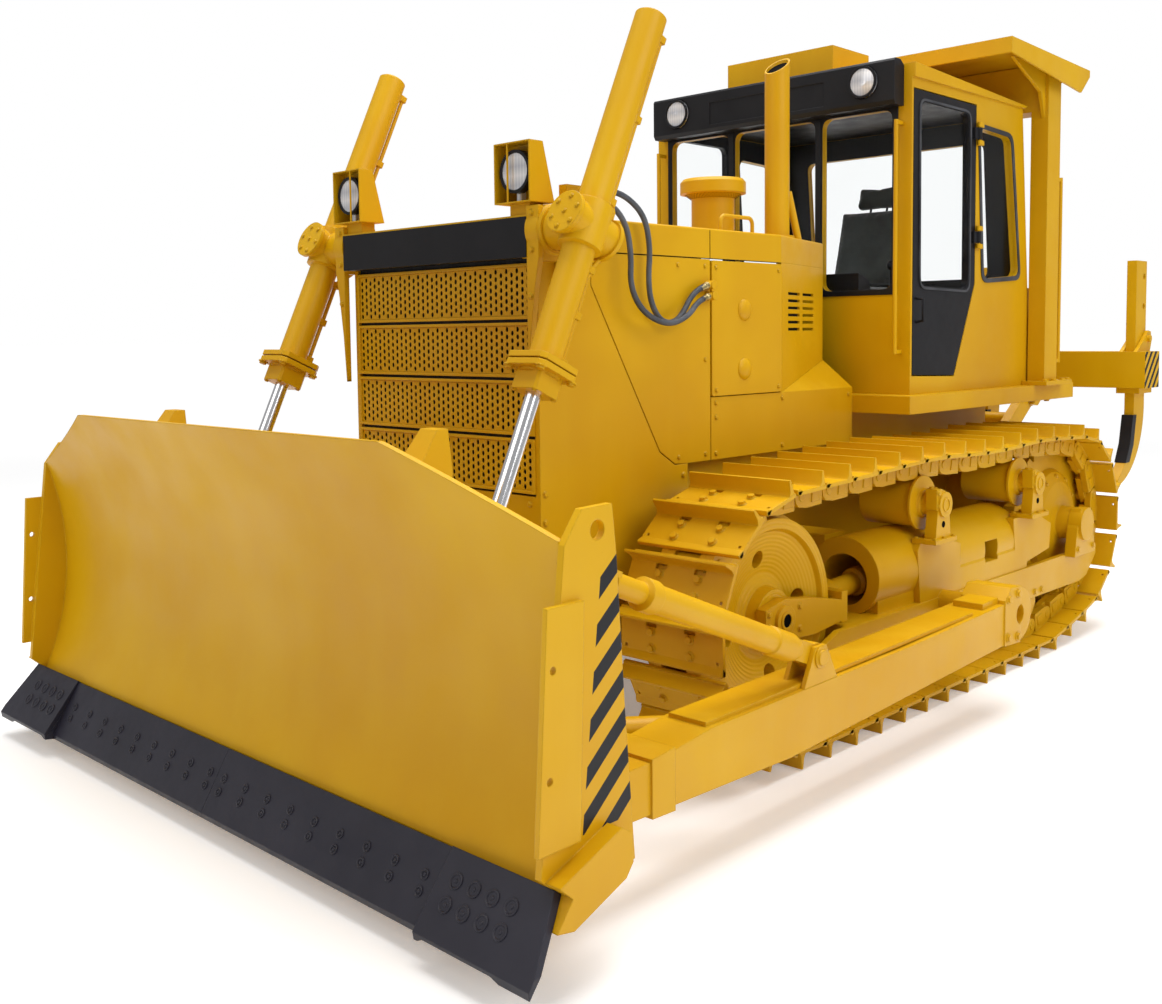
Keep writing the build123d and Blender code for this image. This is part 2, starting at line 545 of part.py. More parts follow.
def exhaust():
    """Upright exhaust pipe on a foot, its mouth cut aslant, with a drain pipe beside it."""
    x, y = STACK
    foot = [(0, 0), (0, 84), (14, 84), (14, 60), (900, 60), (900, 52), (700, 52), (700, 0)]
    pipe = spun((x, y, HOOD_TOP), (x, y, HOOD_TOP + 1), foot)
    pipe = split(pipe, bisect_by=Plane(origin=(x, y, 3040), z_dir=(0, -0.6, 0.8)), keep=Keep.BOTTOM)
    pipe += rod((x + 30, y + 50, 2440), (x + 62, y + 96, HOOD_TOP - 20), 18)
    return pipe - block((x - 150, x + 150), (y - 150, y + 150), (HOOD_TOP - 60, HOOD_TOP))


def precleaner():
    """Air pre-cleaner: a drum with a flared skirt under a round cap."""
    x, y = CLEANER
    profile = [(0, 0), (0, 105), (196, 105), (222, 140), (222, 160), (276, 160), (292, 146), (292, 0)]
    return spun((x, y, HOOD_TOP), (x, y, HOOD_TOP + 1), profile)


# ---- cab ----------------------------------------------------------------------------------------------------
def grown(outline, gap):
    """An outline widened on every side by a gap."""
    centre_y = sum(p[0] for p in outline) / len(outline)
    centre_z = sum(p[1] for p in outline) / len(outline)
    return [(y + math.copysign(gap, y - centre_y), z + math.copysign(gap, z - centre_z)) for y, z in outline]


def cab():
    """Cab shell with its roof and the box on it, the openings of doors and windows, and the hinge pins."""
    half, front = CAB["half"], CAB["front"]
    low, high = PLATFORM[1], 3010
    outer = [(front, low), (2980, low), (2827, high), (front, high)]
    inner = [(front + 40, low + 41), (2935, low + 41), (2787, high - 40), (front + 40, high - 40)]
    shell = side_plate(outer, -half, half) - side_plate(inner, 45 - half, half - 45)
    shell += side_plate([(front, high), (2827, high), (2858, 3024), (front, 3080)], -half - 16, half + 16)
    shell += block((-340, 340), (1600, 1960), (3050, 3250))
    shell -= both(side_plate(grown(DOOR_OUTLINE, 6), half - 60, half + 10))
    shell -= both(rounded_side(SIDE_WINDOW, 50, half - 60, half + 10))
    for x in FRONT_LIGHTS:
        shell -= rounded_front(x, LIGHT_HEIGHT, 50, front - 10, front + 50)
    shell -= rounded_front(REAR_LIGHT["x"], REAR_LIGHT["z"], 50, 2750, 3000)
    return shell + door_pins()


def cab_windows():
    """Fixed panes: three in front, one on each side behind the door, and the rear one."""
    glass = Part()
    for x in FRONT_LIGHTS:
        glass += rounded_front(x, LIGHT_HEIGHT, 50, CAB["front"] + 12, CAB["front"] + 18)
    lean = side_plate([(2964, 1435), (2958, 1435), (2805, 3010), (2811, 3010)], -850, 850)
    glass += lean & rounded_front(REAR_LIGHT["x"], REAR_LIGHT["z"], 50, 2750, 3000)
    return glass + both(rounded_side(SIDE_WINDOW, 50, CAB["half"] - 20, CAB["half"] - 14))


def cab_visor():
    """Dark visor box above the front windows, with sockets for its lamps."""
    (x, z0, z1), y0, y1 = VISOR["box"], VISOR["front"], CAB["front"] - SEAT
    section = [(y0 + 14, z0), (y1, z0), (y1, z1 - 26), (y0 + 60, z1), (y0 + 8, z1), (y0, z1 - 12), (y0, z0 + 20)]
    visor = side_plate(section, -x, x)
    visor -= front_plate([(-370, z0 + 40), (370, z0 + 40), (370, z1 - 62), (-370, z1 - 62)], y0 - 1, y0 + 6)
    for lamp_x in (-VISOR["lamp"][0], VISOR["lamp"][0]):
        visor -= extrude(Plane.XZ.offset(1 - y0) * Pos(lamp_x, VISOR["lamp"][1]) * Circle(82), amount=-22)
    return visor


def visor_lamps():
    """Round work lamps in the visor's sockets."""
    (x, z), y = VISOR["lamp"], VISOR["front"] + 21 - SEAT
    return both(spun((x, y, z), (x, y - 1, z), [(0, 0), (0, 78), (20, 78), (30, 66), (34, 0)]))


def door(side):
    """Left door: a leaf with a window, and the knuckles of its hinges."""
    half = CAB["half"]
    x, y = DOOR_HINGE
    leaf = side_plate(DOOR_OUTLINE, half - 38, half)
    leaf -= rounded_side(DOOR_WINDOW, 50, half - 50, half + 10)
    for z in HINGE_Z:
        leaf += block((half - 5, x), (y - 50, y - 12), (z - 30, z + 30))
        leaf += rod((x, y, z - 30), (x, y, z + 30), 13)
        leaf -= rod((x, y, z - 31), (x, y, z + 31), 6.05)
    return leaf if side > 0 else mirrored(leaf)


def door_glass(side):
    """Pane of the left door."""
    glass = rounded_side(DOOR_WINDOW, 50, CAB["half"] - 24, CAB["half"] - 18)
    return glass if side > 0 else mirrored(glass)


def door_pins():
    """Hinge pins of both doors with the lugs that hold them to the cab."""
    pins = Part()
    x, y = DOOR_HINGE
    for z in HINGE_Z:
        pins += rod((x, y, z - 60), (x, y, z + 60), 6)
        for z0 in (z - 60, z + 35):
            pins += rod((x, y, z0), (x, y, z0 + 25), 13)
            pins += block((CAB["half"], x + 6), (y + 5, y + 40), (z0, z0 + 25))
    return both(pins)


def seat():
    """Operator's seat: pedestal, cushion, back and head rest."""
    chair = rounded_side([(2040, 1880), (2560, 1880), (2560, 2010), (2040, 2020)], 40, -255, 255)
    chair += rounded_side([(2470, 2000), (2600, 1990), (2700, 2500), (2610, 2520)], 40, -245, 245)
    chair += rounded_side([(2622, 2490), (2712, 2470), (2736, 2640), (2660, 2650)], 30, -145, 145)
    chair += front_plate([(-190, 1476), (190, 1476), (150, 1900), (-150, 1900)], 2130, 2480)
    return chair


def controls():
    """Instrument desk, steering levers and the ball-topped lever beside the seat."""
    front = CAB["front"] + 40 + SEAT
    desk = side_plate([(front, 1476), (1800, 1476), (1760, 1900), (1700, 2030), (front, 2060)], -500, 500)
    levers = rod((420, 2080, 1476), (420, 2080, 2120), 12) + (Pos(420, 2080, 2120) * Sphere(28))
    return desk + levers


def rops():
    """Roll-over frame: two posts behind the cab, a cross beam, gussets and the tray of the canopy."""
    (x0, x1), (y0, y1), (z0, z1) = POST["x"], POST["y"], POST["z"]
    half, tray = CANOPY["half"], CANOPY["outline"]
    frame = side_plate(tray, -half, half)
    hollow = [(tray[0][0] + 12, tray[0][1] - 12), (tray[1][0] - 14, tray[1][1] - 12), (tray[1][0] - 14, 3000),
              (tray[0][0] + 12, 3000)]
    frame -= side_plate(hollow, 12 - half, half - 12)
    frame += both(block((x0, x1), (y0, y1), (z0, z1)))
    frame += block((-x1, x1), (y0, y1), (z1 - 110, 3262))
    frame += both(block((CAB["half"] + 2, x1 + 40), (y0 - 60, y1 + 130), (z0, z0 + 24)))
    rear_gusset = [(y1, 2780), (y1 + 40, 2780), (y1 + 118, 3080), (y1 + 118, 3250), (y1, 3255)]
    frame += both(side_plate(rear_gusset, x1 - 70, x1 - 50))
    frame += both(side_plate([(2500, 3240), (y0, 3240), (y0, 2950), (y0 - 60, 3100)], x1 - 40, x1 - 20))
    return frame


def grab_rail(x, y, z0, z1, reach):
    """An upright rail on two flat stubs that reach along the machine."""
    rail = rod((x, y, z0), (x, y, z1), 11)
    for z in (z0 + 12, z1 - 12):
        rail += block((x - 6, x + 6), sorted((y, y + reach)), (z - 10, z + 10))
    return rail


def handrails():
    """Grab rails at the cab's front corners and behind the posts, and the handle on the hood."""
    front, rear = CAB["front"], POST["y"][1]
    rails = both(grab_rail(768, front - 62, 1640, 2800, 62 - SEAT))
    rails += both(grab_rail(POST["x"][1] - 20, rear + 66, 1560, 2640, SEAT - 66))
    (x, y0, y1), z = HOOD_HANDLE, HOOD_TOP + SEAT
    wire = FilletPolyline((x, y0, z), (x, y0, z + 70), (x, y1, z + 70), (x, y1, z), radius=30)
    return rails + sweep(Plane(origin=(x, y0, z), z_dir=(0, 0, 1)) * Circle(9), path=wire)


def fuel_tank():
    """Tank behind the cab."""
    outline = [(2988, PLATFORM[1]), (CHASSIS_REAR, PLATFORM[1]), (CHASSIS_REAR, 2000), (2988, 2000)]
    return rounded_side(outline, 20, -780, 780)


# ---- blade and its arms -------------------------------------------------------------------------------------
def inside_face(low, high, steps):
    """Points in the middle of the moldboard's plate, from one height up to another."""
    arc = ThreePointArc(BLADE_FOOT, BLADE_MIDDLE, BLADE_TOP)
    heights = [low + (high - low) * i / steps for i in range(steps + 1)]
    return [(arc.arc_center.X + math.sqrt(arc.radius ** 2 - (z - arc.arc_center.Y) ** 2) + PLATE / 2, z)
            for z in heights]


def moldboard():
    """Curved board with its cheeks, box members, ribs, horns and the lugs for rods and braces."""
    front = [BLADE_FOOT, BLADE_MIDDLE, BLADE_TOP]
    board = arc_band(front, [behind(p, PLATE) for p in front], -BLADE_HALF, BLADE_HALF)
    slope = [(BLADE_TOP_HALF, 1500), (BLADE_TOP_HALF, 1453), (BLADE_HALF, 1214), (BLADE_HALF + 5, 1214),
             (BLADE_HALF + 5, 1500)]
    board -= both(front_plate(slope, -2100, -1500))
    cheek = [(-1845, 335), (-1745, 1205), (-1678, 1295), (-1559, 1298), (-1544, 1166), (-1512, 706), (-1476, 278),
             (-1755, 262), (-1783.8, 284.2)]
    cheeks = side_plate(cheek, BLADE_HALF, BLADE_HALF + PLATE)
    pad = [(-1870, 407), (-1828, 1054), (-1690, 1054), (-1712, 407)]
    cheeks += side_plate(pad, BLADE_HALF + PLATE, BLADE_HALF + 42)
    cheeks -= disc_x((-1618, 1232), 28, BLADE_HALF - 1, BLADE_HALF + 50)
    for y, z in ((-1810, 890), (-1826, 600)):
        cheeks -= disc_x((y, z), 11, BLADE_HALF - 1, BLADE_HALF + 50)
    box = [(-1830, 326), (-1591, 417), (-1549, 393), (-1545, 308), (-1574, 271), (-1780, 196), (-1843, 209),
           (-1783.5, 284.5)]
    cheeks += side_plate(box, BLADE_HALF + PLATE, END_BIT_HALF - 8)
    board += both(cheeks)
    lower_box = [*inside_face(290, 560, 2), (-1560, 560), (-1500, 470), (-1500, 290)]
    upper_box = [*inside_face(1060, 1190, 1), (-1580, 1165), (-1580, 1075)]
    board += side_plate(lower_box, -BLADE_HALF, BLADE_HALF) + side_plate(upper_box, -BLADE_HALF, BLADE_HALF)
    for x in (-1180.0, -420.0, 0.0, 420.0, 1180.0):
        board += side_plate([*inside_face(545, 1090, 4), (-1585, 1090), (-1560, 545)], x - 10, x + 10)
    horn = [*inside_face(1120, 1230, 1), (-1700, 1250), (-1545, 1462), (-1500, 1462), (-1500, 1320), (-1600, 1120)]
    horn = side_plate(horn, 765, 925)
    for outline in ([(926, 1200), (885, 1470), (1000, 1470), (1000, 1200)],
                    [(764, 1200), (805, 1470), (700, 1470), (700, 1200)]):
        horn -= front_plate(outline, -1800, -1400)
    board += both(horn)
    y, z = LIFT_EYE
    lug = [(-1660, z + 105), (-1500, 540), (y - 47, z - 95), (y - 20, z - 60), (y + 40, z - 50), (y + 60, z),
           (y + 40, z + 50), (y - 20, z + 65), (-1640, z + 205)]
    for x in LIFT_LUGS:
        board += both(side_plate(lug, *x))
    ear = [(-1650, 1140), (-1560, 1160), (-1440, 1124), (-1412, 1090), (-1412, 1046), (-1440, 1020), (-1500, 1005),
           (-1650, 1040)]
    for side in (-1, 1):
        inner = BRACE_X + side * 30.2
        board += both(side_plate(ear, *sorted((inner, inner + side * 18))))
    return board


def blade_bit(x0, x1, tip, thick):
    """A bevelled edge bolted to the blade's foot, from x0 to x1."""
    y, z = BLADE_FOOT
    run_y, run_z = tip[0] - y, tip[1] - z
    length = math.hypot(run_y, run_z)
    ny, nz = -run_z / length * -thick, run_y / length * -thick
    outline = [(y, z), tip, (tip[0] + ny * 0.7 - run_y * 0.06, tip[1] + nz * 0.7 - run_z * 0.06), (y + ny, z + nz)]
    return side_plate(outline, x0, x1)


def cutting_edges():
    """The two halves of the cutting edge, meeting at mid-width."""
    return both(blade_bit(1, SEAM_X - 1, (-1914, 73), 20))


def end_bits():
    """Heavy end bits with a sloping outer side and a shallow recess around their bolts."""
    tip = (-1952, 80)
    bit = blade_bit(SEAM_X, END_BIT_HALF, tip, 26)
    bit -= front_plate([(1652, 300), (END_BIT_HALF, 130), (1800, 130), (1800, 300)], -2100, -1500)
    bit -= front_plate([(SEAM_X - 1, 60), (SEAM_X - 1, 72), (SEAM_X + 40, 92), (1560, 92), (1640, 60)], -2100, -1700)
    y, z = BLADE_FOOT
    down = Vector(0, tip[0] - y, tip[1] - z).normalized()
    middle = (1425, y + down.Y * 118, z + down.Z * 118)
    face = Plane(origin=middle, x_dir=(1, 0, 0), z_dir=Vector(1, 0, 0).cross(down))
    bit -= face * Box(310, 132, 14)
    return both(bit)


def push_arms():
    """Both push arms: box beams from the trunnion cap to the foot of the blade."""
    x0, x1 = ARM_X
    arm = side_plate([(-1499.8, 300), (-1200, 292), (-492, 272), (1245, 345), (1245, 530), (307, 503),
                      (-928, 489), (-1200, 455), (-1499.8, 455)], x0, x1)
    arm += side_plate([(-940, 486), (930, 520), (930, 534), (-940, 503)], x0 + 22, x1 - 22)
    arm += side_plate([(-1240, 280), (-1130, 276), (-1130, 478), (-1240, 466)], x0 - 8, x1 + 8)
    arm += disc_x(ARM_PIVOT, 122.0, x0, x1)
    arm += side_plate([(1190, 340), (1350, 330), (1350, 590), (1250, 596), (1190, 545)], x0 - 6, x1 + 6)
    arm += side_plate([(1040, 523), (1190, 528), (1190, 556), (1040, 551)], x0 + 30, x1 - 30)
    arm -= disc_x(ARM_PIVOT, 45.0, x0 - 10, x1 + 10)
    for side in (-1, 1):
        inner = BRACE_X + side * 30.2
        arm += side_plate([(-410, 480), (-180, 480), (-240, 590), (-262, 632), (-332, 632), (-352, 590)],
                          *sorted((inner, inner + side * 18)))
    return both(arm)


def brace_point(distance):
    """A point on the left brace's axis; a negative distance counts from its front eye."""
    length = math.dist(BRACE_LOW, BRACE_HIGH)
    y, z = along(BRACE_LOW, BRACE_HIGH, distance if distance >= 0 else length + distance)
    return (BRACE_X, y, z)


def brace_end(eye, other):
    """Eye and tongue of a brace, between the ears that hold it."""
    y, z = along(eye, other, 131)
    tongue = bar((BRACE_X, eye[0], eye[1]), (BRACE_X, y, z), 60, 76)
    return disc_x(eye, 50, BRACE_X - 30, BRACE_X + 30) + tongue


def blade_braces():
    """Screw brace of the left arm and the inner diagonals of both."""
    length = math.dist(BRACE_LOW, BRACE_HIGH)
    brace = brace_end(BRACE_LOW, BRACE_HIGH) + brace_end(BRACE_HIGH, BRACE_LOW)
    brace += spun(brace_point(0), brace_point(1), [(118, 0), (118, 44), (150, 52), (270, 52), (276, 46),
                                                   (length - 330, 46), (length - 324, 54), (length - 270, 54),
                                                   (length - 264, 36), (length - 118, 36), (length - 118, 0)])
    inner = rod((1320, -680, 390), (680, -1520, 420), 45)
    inner -= block((ARM_X[0] - SEAT, 1600), (-900, -500), (200, 600))
    inner -= block((500, 900), (-1600, -1500 + SEAT), (200, 600))
    return Part() + brace + both(inner)


def tilt_cylinder():
    """Hydraulic tilt cylinder in place of the right arm's screw brace."""
    length = math.dist(BRACE_LOW, BRACE_HIGH)
    cylinder = brace_end(BRACE_LOW, BRACE_HIGH) + brace_end(BRACE_HIGH, BRACE_LOW)
    cylinder += spun(brace_point(0), brace_point(1), [(110, 0), (110, 70), (640, 70), (646, 84), (700, 84),
                                                      (706, 32), (length - 118, 32), (length - 118, 0)])
    return mirrored(cylinder)


# ---- lift cylinders -----------------------------------------------------------------------------------------
def lift_point(distance):
    """A point on the left lift cylinder's axis, measured from its pivot towards the rod's eye."""
    y, z = along(LIFT_PIVOT, LIFT_EYE, distance)
    return (LIFT_X, y, z)


def lift_plane(distance):
    """A plane square to the left lift cylinder; its local y points forward and up, away from the tractor."""
    here, there = Vector(*lift_point(distance)), Vector(*lift_point(distance + 1))
    return Plane(origin=here, x_dir=(1, 0, 0), z_dir=there - here)


def lift_pipe(start, end):
    """Steel pipe along the rear of the left barrel, in three clamps."""
    def place(distance, out):
        return lift_plane(distance).from_local_coords((0, -out, 0))

    pipe = rod(place(start, 84), place(end, 84), 9)
    for distance in (start + 14, (start + end) / 2, end - 14):
        pipe += bar(place(distance, 50), place(distance, 98), 28, 28)
    return pipe


def lift_barrels():
    """Both lift cylinders' barrels, each in the ring that swings on the guard's stub, with gland and pipes."""
    top, flange, radius = -BARREL["top"], BARREL["flange"], BARREL["radius"]
    profile = [(top, 0), (top, radius - 10), (top + 8, radius), (-92, radius), (-86, 82), (86, 82), (92, radius),
               (flange - 14, radius), (flange - 14, 0)]
    barrel = spun(lift_point(0), lift_point(1), profile)
    barrel += disc_x(LIFT_PIVOT, 78.0, TRUNNION_X + 0.3, LIFT_X)
    for side in (-1, 1):
        front_cap = lift_plane(0) * Rot(-90 * side, 0, 0)
        barrel += front_cap * Pos(0, 0, 52) * Cylinder(72, 104)
        barrel += front_cap * Pos(0, 0, 113) * Cylinder(82, 18)
    for distance in (flange - 16, flange + 12):
        barrel += extrude(lift_plane(distance) * clipped(196, 20), amount=22)
    barrel += extrude(lift_plane(flange - 16) * Circle(74), amount=60)
    barrel += extrude(lift_plane(flange + 34) * clipped(126, 10), amount=76)
    barrel += lift_pipe(top + 40, -130) + lift_pipe(120, flange - 30)
    barrel -= disc_x(LIFT_PIVOT, TRUNNION_PIN + 0.05, TRUNNION_X, TRUNNION_X + 60.3)
    bore = rod(lift_point(top + 30), lift_point(flange + 130), BARREL["rod"] + 0.3)
    return both(barrel - bore)


def lift_rods():
    """Rods of the lift cylinders with the eyes at the blade."""
    length = math.dist(LIFT_PIVOT, LIFT_EYE)
    shaft = rod(lift_point(-60), lift_point(length - 30), BARREL["rod"])
    shaft += disc_x(LIFT_EYE, 56.0, LIFT_X - 40, LIFT_X + 40)
    shaft += rod(lift_point(length - 85), lift_point(length - 40), 36)
    return both(shaft - disc_x(LIFT_EYE, 26.0, LIFT_X - 41, LIFT_X + 41))


# ---- ripper -------------------------------------------------------------------------------------------------
def beam_pin(pin):
    """The pin on the beam that an arm or a link reaches from its pin on the rear bracket."""
    return (pin[0] + RIPPER_REACH[0], pin[1] + RIPPER_REACH[1])


def link(start, end, radius, x0, x1, bore):
    """A flat link with an eye at each end."""
    dy, dz = end[0] - start[0], end[1] - start[1]
    length = math.hypot(dy, dz)
    ny, nz = -dz / length * radius * 0.8, dy / length * radius * 0.8
    body = side_plate([(start[0] - ny, start[1] - nz), (end[0] - ny, end[1] - nz), (end[0] + ny, end[1] + nz),
                       (start[0] + ny, start[1] + nz)], x0, x1)
    body += disc_x(start, radius, x0, x1) + disc_x(end, radius, x0, x1)
    for centre in (start, end):
        body -= disc_x(centre, bore, x0 - 1, x1 + 1)
    return body


def ripper_arms():
    """Lower arms of the ripper's parallelogram, joined by a cross tube."""
    arm = link(RIPPER_LOWER, beam_pin(RIPPER_LOWER), 75, *RIPPER_ARM_X, 35.0)
    cross = along(RIPPER_LOWER, beam_pin(RIPPER_LOWER), 580)
    eye = ram_eye()
    arms = Part() + both(arm) + disc_x(cross, 45, -RIPPER_ARM_X[0], RIPPER_ARM_X[0])
    for x in (RAM_X - 55, RAM_X + 40):
        lug = side_plate([(cross[0] + 20, cross[1] - 30), (eye[0], eye[1] - 55), (eye[0] - 55, eye[1]),
                          (eye[0], eye[1] + 55), (cross[0] + 20, cross[1] + 30)], x, x + 15)
        arms += both(lug)
    return arms


def ripper_links():
    """Upper links of the ripper's parallelogram."""
    return both(link(RIPPER_UPPER, beam_pin(RIPPER_UPPER), 65, 250, 300, 30.0))


def ripper_point(distance):
    """A point on a ripper cylinder's axis, measured from its upper pin towards the rod's eye."""
    return along(RAM_TOP, ram_eye(), distance)


def ram_eye():
    """The pin on the lower arms that the ripper's rods hold."""
    return along(RIPPER_LOWER, beam_pin(RIPPER_LOWER), RAM_ARM)


def ripper_barrels():
    """Barrels of the ripper's cylinders, hung from pins at the top of the rear bracket."""
    length = math.dist(RAM_TOP, ram_eye())
    end = length - 150
    top = (RAM_X, *RAM_TOP)
    towards = (RAM_X, *ripper_point(1))
    barrel = spun(top, towards, [(60, 0), (60, 50), (75, 60), (end - 62, 60), (end - 56, 72), (end, 72), (end, 0)])
    barrel += disc_x(RAM_TOP, 60, RAM_X - 35, RAM_X + 35)
    barrel += bar(top, (RAM_X, *ripper_point(75)), 70, 90)
    barrel -= rod((RAM_X, *ripper_point(90)), (RAM_X, *ripper_point(end + 1)), RAM_ROD + 0.3)
    barrel -= disc_x(RAM_TOP, 30.05, RAM_X - 40, RAM_X + 40)
    return both(barrel)


def ripper_rods():
    """Rods of the ripper's cylinders with the eyes at the lower arms."""
    length = math.dist(RAM_TOP, ram_eye())
    shaft = rod((RAM_X, *ripper_point(160)), (RAM_X, *ripper_point(length)), RAM_ROD)
    shaft += disc_x(ram_eye(), 55, RAM_X - 35, RAM_X + 35)
    return both(shaft)


def ripper_beam():
    """Cross beam of the ripper: lugs for the linkage, and a slot, a pocket and pinned ears at each shank."""
    (y0, y1), (z0, z1) = BEAM["y"], BEAM["z"]
    beam = block((-BEAM["half"], BEAM["half"]), (y0, y1), (z0, z1))
    low, high = beam_pin(RIPPER_LOWER), beam_pin(RIPPER_UPPER)
    low_lug = [(low[0] - 45, low[1] - 60), (low[0] + 20, low[1] - 70), (y0 + 60, z0 - 30), (y0 + 60, z1 - 8),
               (low[0] - 20, low[1] + 75), (low[0] - 60, low[1] + 20)]
    for x in (RIPPER_ARM_X[0] - 20, RIPPER_ARM_X[1] + 20):
        beam += both(side_plate(low_lug, x - 15, x + 15))
    high_lug = [(high[0] - 50, high[1] + 50), (high[0] + 40, high[1] + 60), (y1 - 50, z1 - 8), (y0 + 8, z1 - 8),
                (high[0] - 62, high[1] - 30)]
    for x in (230, 320):
        beam += both(side_plate(high_lug, x - 15, x + 15))
    beam += both(disc_x(low, 34.95, RIPPER_ARM_X[0] - 35, RIPPER_ARM_X[1] + 35))
    beam += both(disc_x(high, 29.95, 215, 335))
    for x in SHANK_X:
        beam += block((x - 72, x + 72), (SHANK["y"][0] - 34, SHANK["y"][1] + 10), (z0 - 36, z0))
        ear = [(y0 + 20, z1), (y1, z1), (y1 + 26, z1 + 62), (y1 + 10, z1 + 128), (y1 - 34, z1 + 134),
               (y1 - 120, z1 + 66)]
        for side in (-1, 1):
            beam += side_plate(ear, *sorted((x + side * 32, x + side * 56)))
        slot_y = (SHANK["y"][0] - SEAT, SHANK["y"][1] + SEAT)
        beam -= block((x - 30 - SEAT, x + 30 + SEAT), slot_y, (z0 - 40, z1 + 1))
        beam += disc_x(SHANK["pin"], 22, x - 74, x + 74)
    return beam


def ripper_shanks():
    """Three shanks through the beam's slots: straight above, curved forward below, drilled along the top."""
    (y0, y1), (ty, tz) = SHANK["y"], SHANK["tip"]
    edges = [Line((y0, SHANK["top"]), (y1, SHANK["top"])), Line((y1, SHANK["top"]), (y1, 1300)),
             ThreePointArc((y1, 1300), (4210, 985), (ty + 30, tz - 4)), Line((ty + 30, tz - 4), (ty, tz)),
             Line((ty, tz), (ty + 20, tz + 34)), ThreePointArc((ty + 20, tz + 34), (4052, 1010), (y0, 1300)),
             Line((y0, 1300), (y0, SHANK["top"]))]
    face = make_face(edges)
    shanks = Part()
    for x in SHANK_X:
        shank = extrude(Plane.YZ.offset(x - 30) * face, amount=60, dir=(1, 0, 0))
        shank -= disc_x(SHANK["pin"], 22.3, x - 31, x + 31)
        for z in SHANK["holes"]:
            shank -= disc_x((y1 - 42, z), 20, x - 31, x + 31)
        shanks += shank
    return shanks


# ---- hoses --------------------------------------------------------------------------------------------------
def hose(points):
    """Tube along straight runs that tangent arcs join, each arc as wide as the shorter run beside it allows."""
    spots = [Vector(*point) for point in points]
    path, here = [], spots[0]
    for before, corner, after in zip(spots, spots[1:], spots[2:]):
        back, ahead = before - corner, after - corner
        reach = 0.45 * min(back.length, ahead.length)
        start, end = corner + back.normalized() * reach, corner + ahead.normalized() * reach
        path += [Line(here, start), TangentArc(start, end, tangent=back * -1)]
        here = end
    path.append(Line(here, spots[-1]))
    return sweep(Plane(origin=spots[0], z_dir=spots[1] - spots[0]) * Circle(HOSE / 2), path=Wire(path))


def hose_fittings():
    """Manifold on the left wing and the unions on the side panel, with a ferrule at each end of both hoses."""
    fittings = block((600, 640), (-700, -622), (2232, 2318))
    for points in (LOWER_HOSE, UPPER_HOSE):
        for end, inward in ((Vector(*points[0]), Vector(*points[1])), (Vector(*points[-1]), Vector(*points[-2]))):
            back = (end - inward).normalized()
            fittings += rod(end + back * 60, end, HOSE / 2 + 2)
        x, y, z = points[-1]
        fittings += disc_x((y + 36, z + 4), 19, GUARD_HALF + SEAT, x + 16)
    return fittings


# ---- the machine's pieces -----------------------------------------------------------------------------------
NODES = {
    "main_frame": lambda: main_frame() + both(final_drive()),
    "engine_block": engine,
    "radiator_guard": lambda: radiator_guard() + lamp_boxes() + hose_fittings(),
    "grille_panels": grille,
    "front_band": front_band,
    "lamps": lambda: head_lamps() + visor_lamps(),
    "hood": hood,
    "side_panels": side_panels,
    "fenders": fenders,
    "exhaust_stack": exhaust,
    "air_precleaner": precleaner,
    "cab_shell": cab,
    "cab_windows": cab_windows,
    "cab_visor": cab_visor,
    "operator_seat": seat,
    "controls": controls,
    "rops_canopy": rops,
    "handrails": handrails,
    "fuel_tank": fuel_tank,
    "track_frames": lambda: both(track_frame() + idler_yoke()),
    "track_left": track,
    "track_right": lambda: mirrored(track()),
    "idlers": lambda: both(idler()),
    "sprockets": lambda: both(sprocket()),
    "track_rollers": lambda: both(track_rollers()),
    "carrier_rollers": lambda: both(carrier_rollers()),
    "door_left": lambda: door(1),
    "door_left_glass": lambda: door_glass(1),
    "door_right": lambda: door(-1),
    "door_right_glass": lambda: door_glass(-1),
    "moldboard": moldboard,
    "cutting_edges": cutting_edges,
    "end_bits": end_bits,
    "push_arms": push_arms,
    "blade_braces": lambda: blade_braces() + tilt_cylinder(),
    "lift_barrels": lift_barrels,
    "lift_rods": lift_rods,
    "ripper_barrels": ripper_barrels,
    "ripper_rods": ripper_rods,
    "ripper_arms": ripper_arms,
    "ripper_links": ripper_links,
    "ripper_beam": ripper_beam,
    "ripper_shanks": ripper_shanks,
    "lower_hose": lambda: hose(LOWER_HOSE),
    "upper_hose": lambda: hose(UPPER_HOSE),
}


def main():
    os.makedirs("parts", exist_ok=True)
    for name, make in NODES.items():
        shape = Pos(0, FRAME_Y, 0) * make()
        shape.label = name
        export_step(shape, f"parts/{name}.step")


if __name__ == "__main__":
    main()
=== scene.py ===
"""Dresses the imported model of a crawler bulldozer: paint, tracks, grille, bolts, hoses, lamps and seat."""

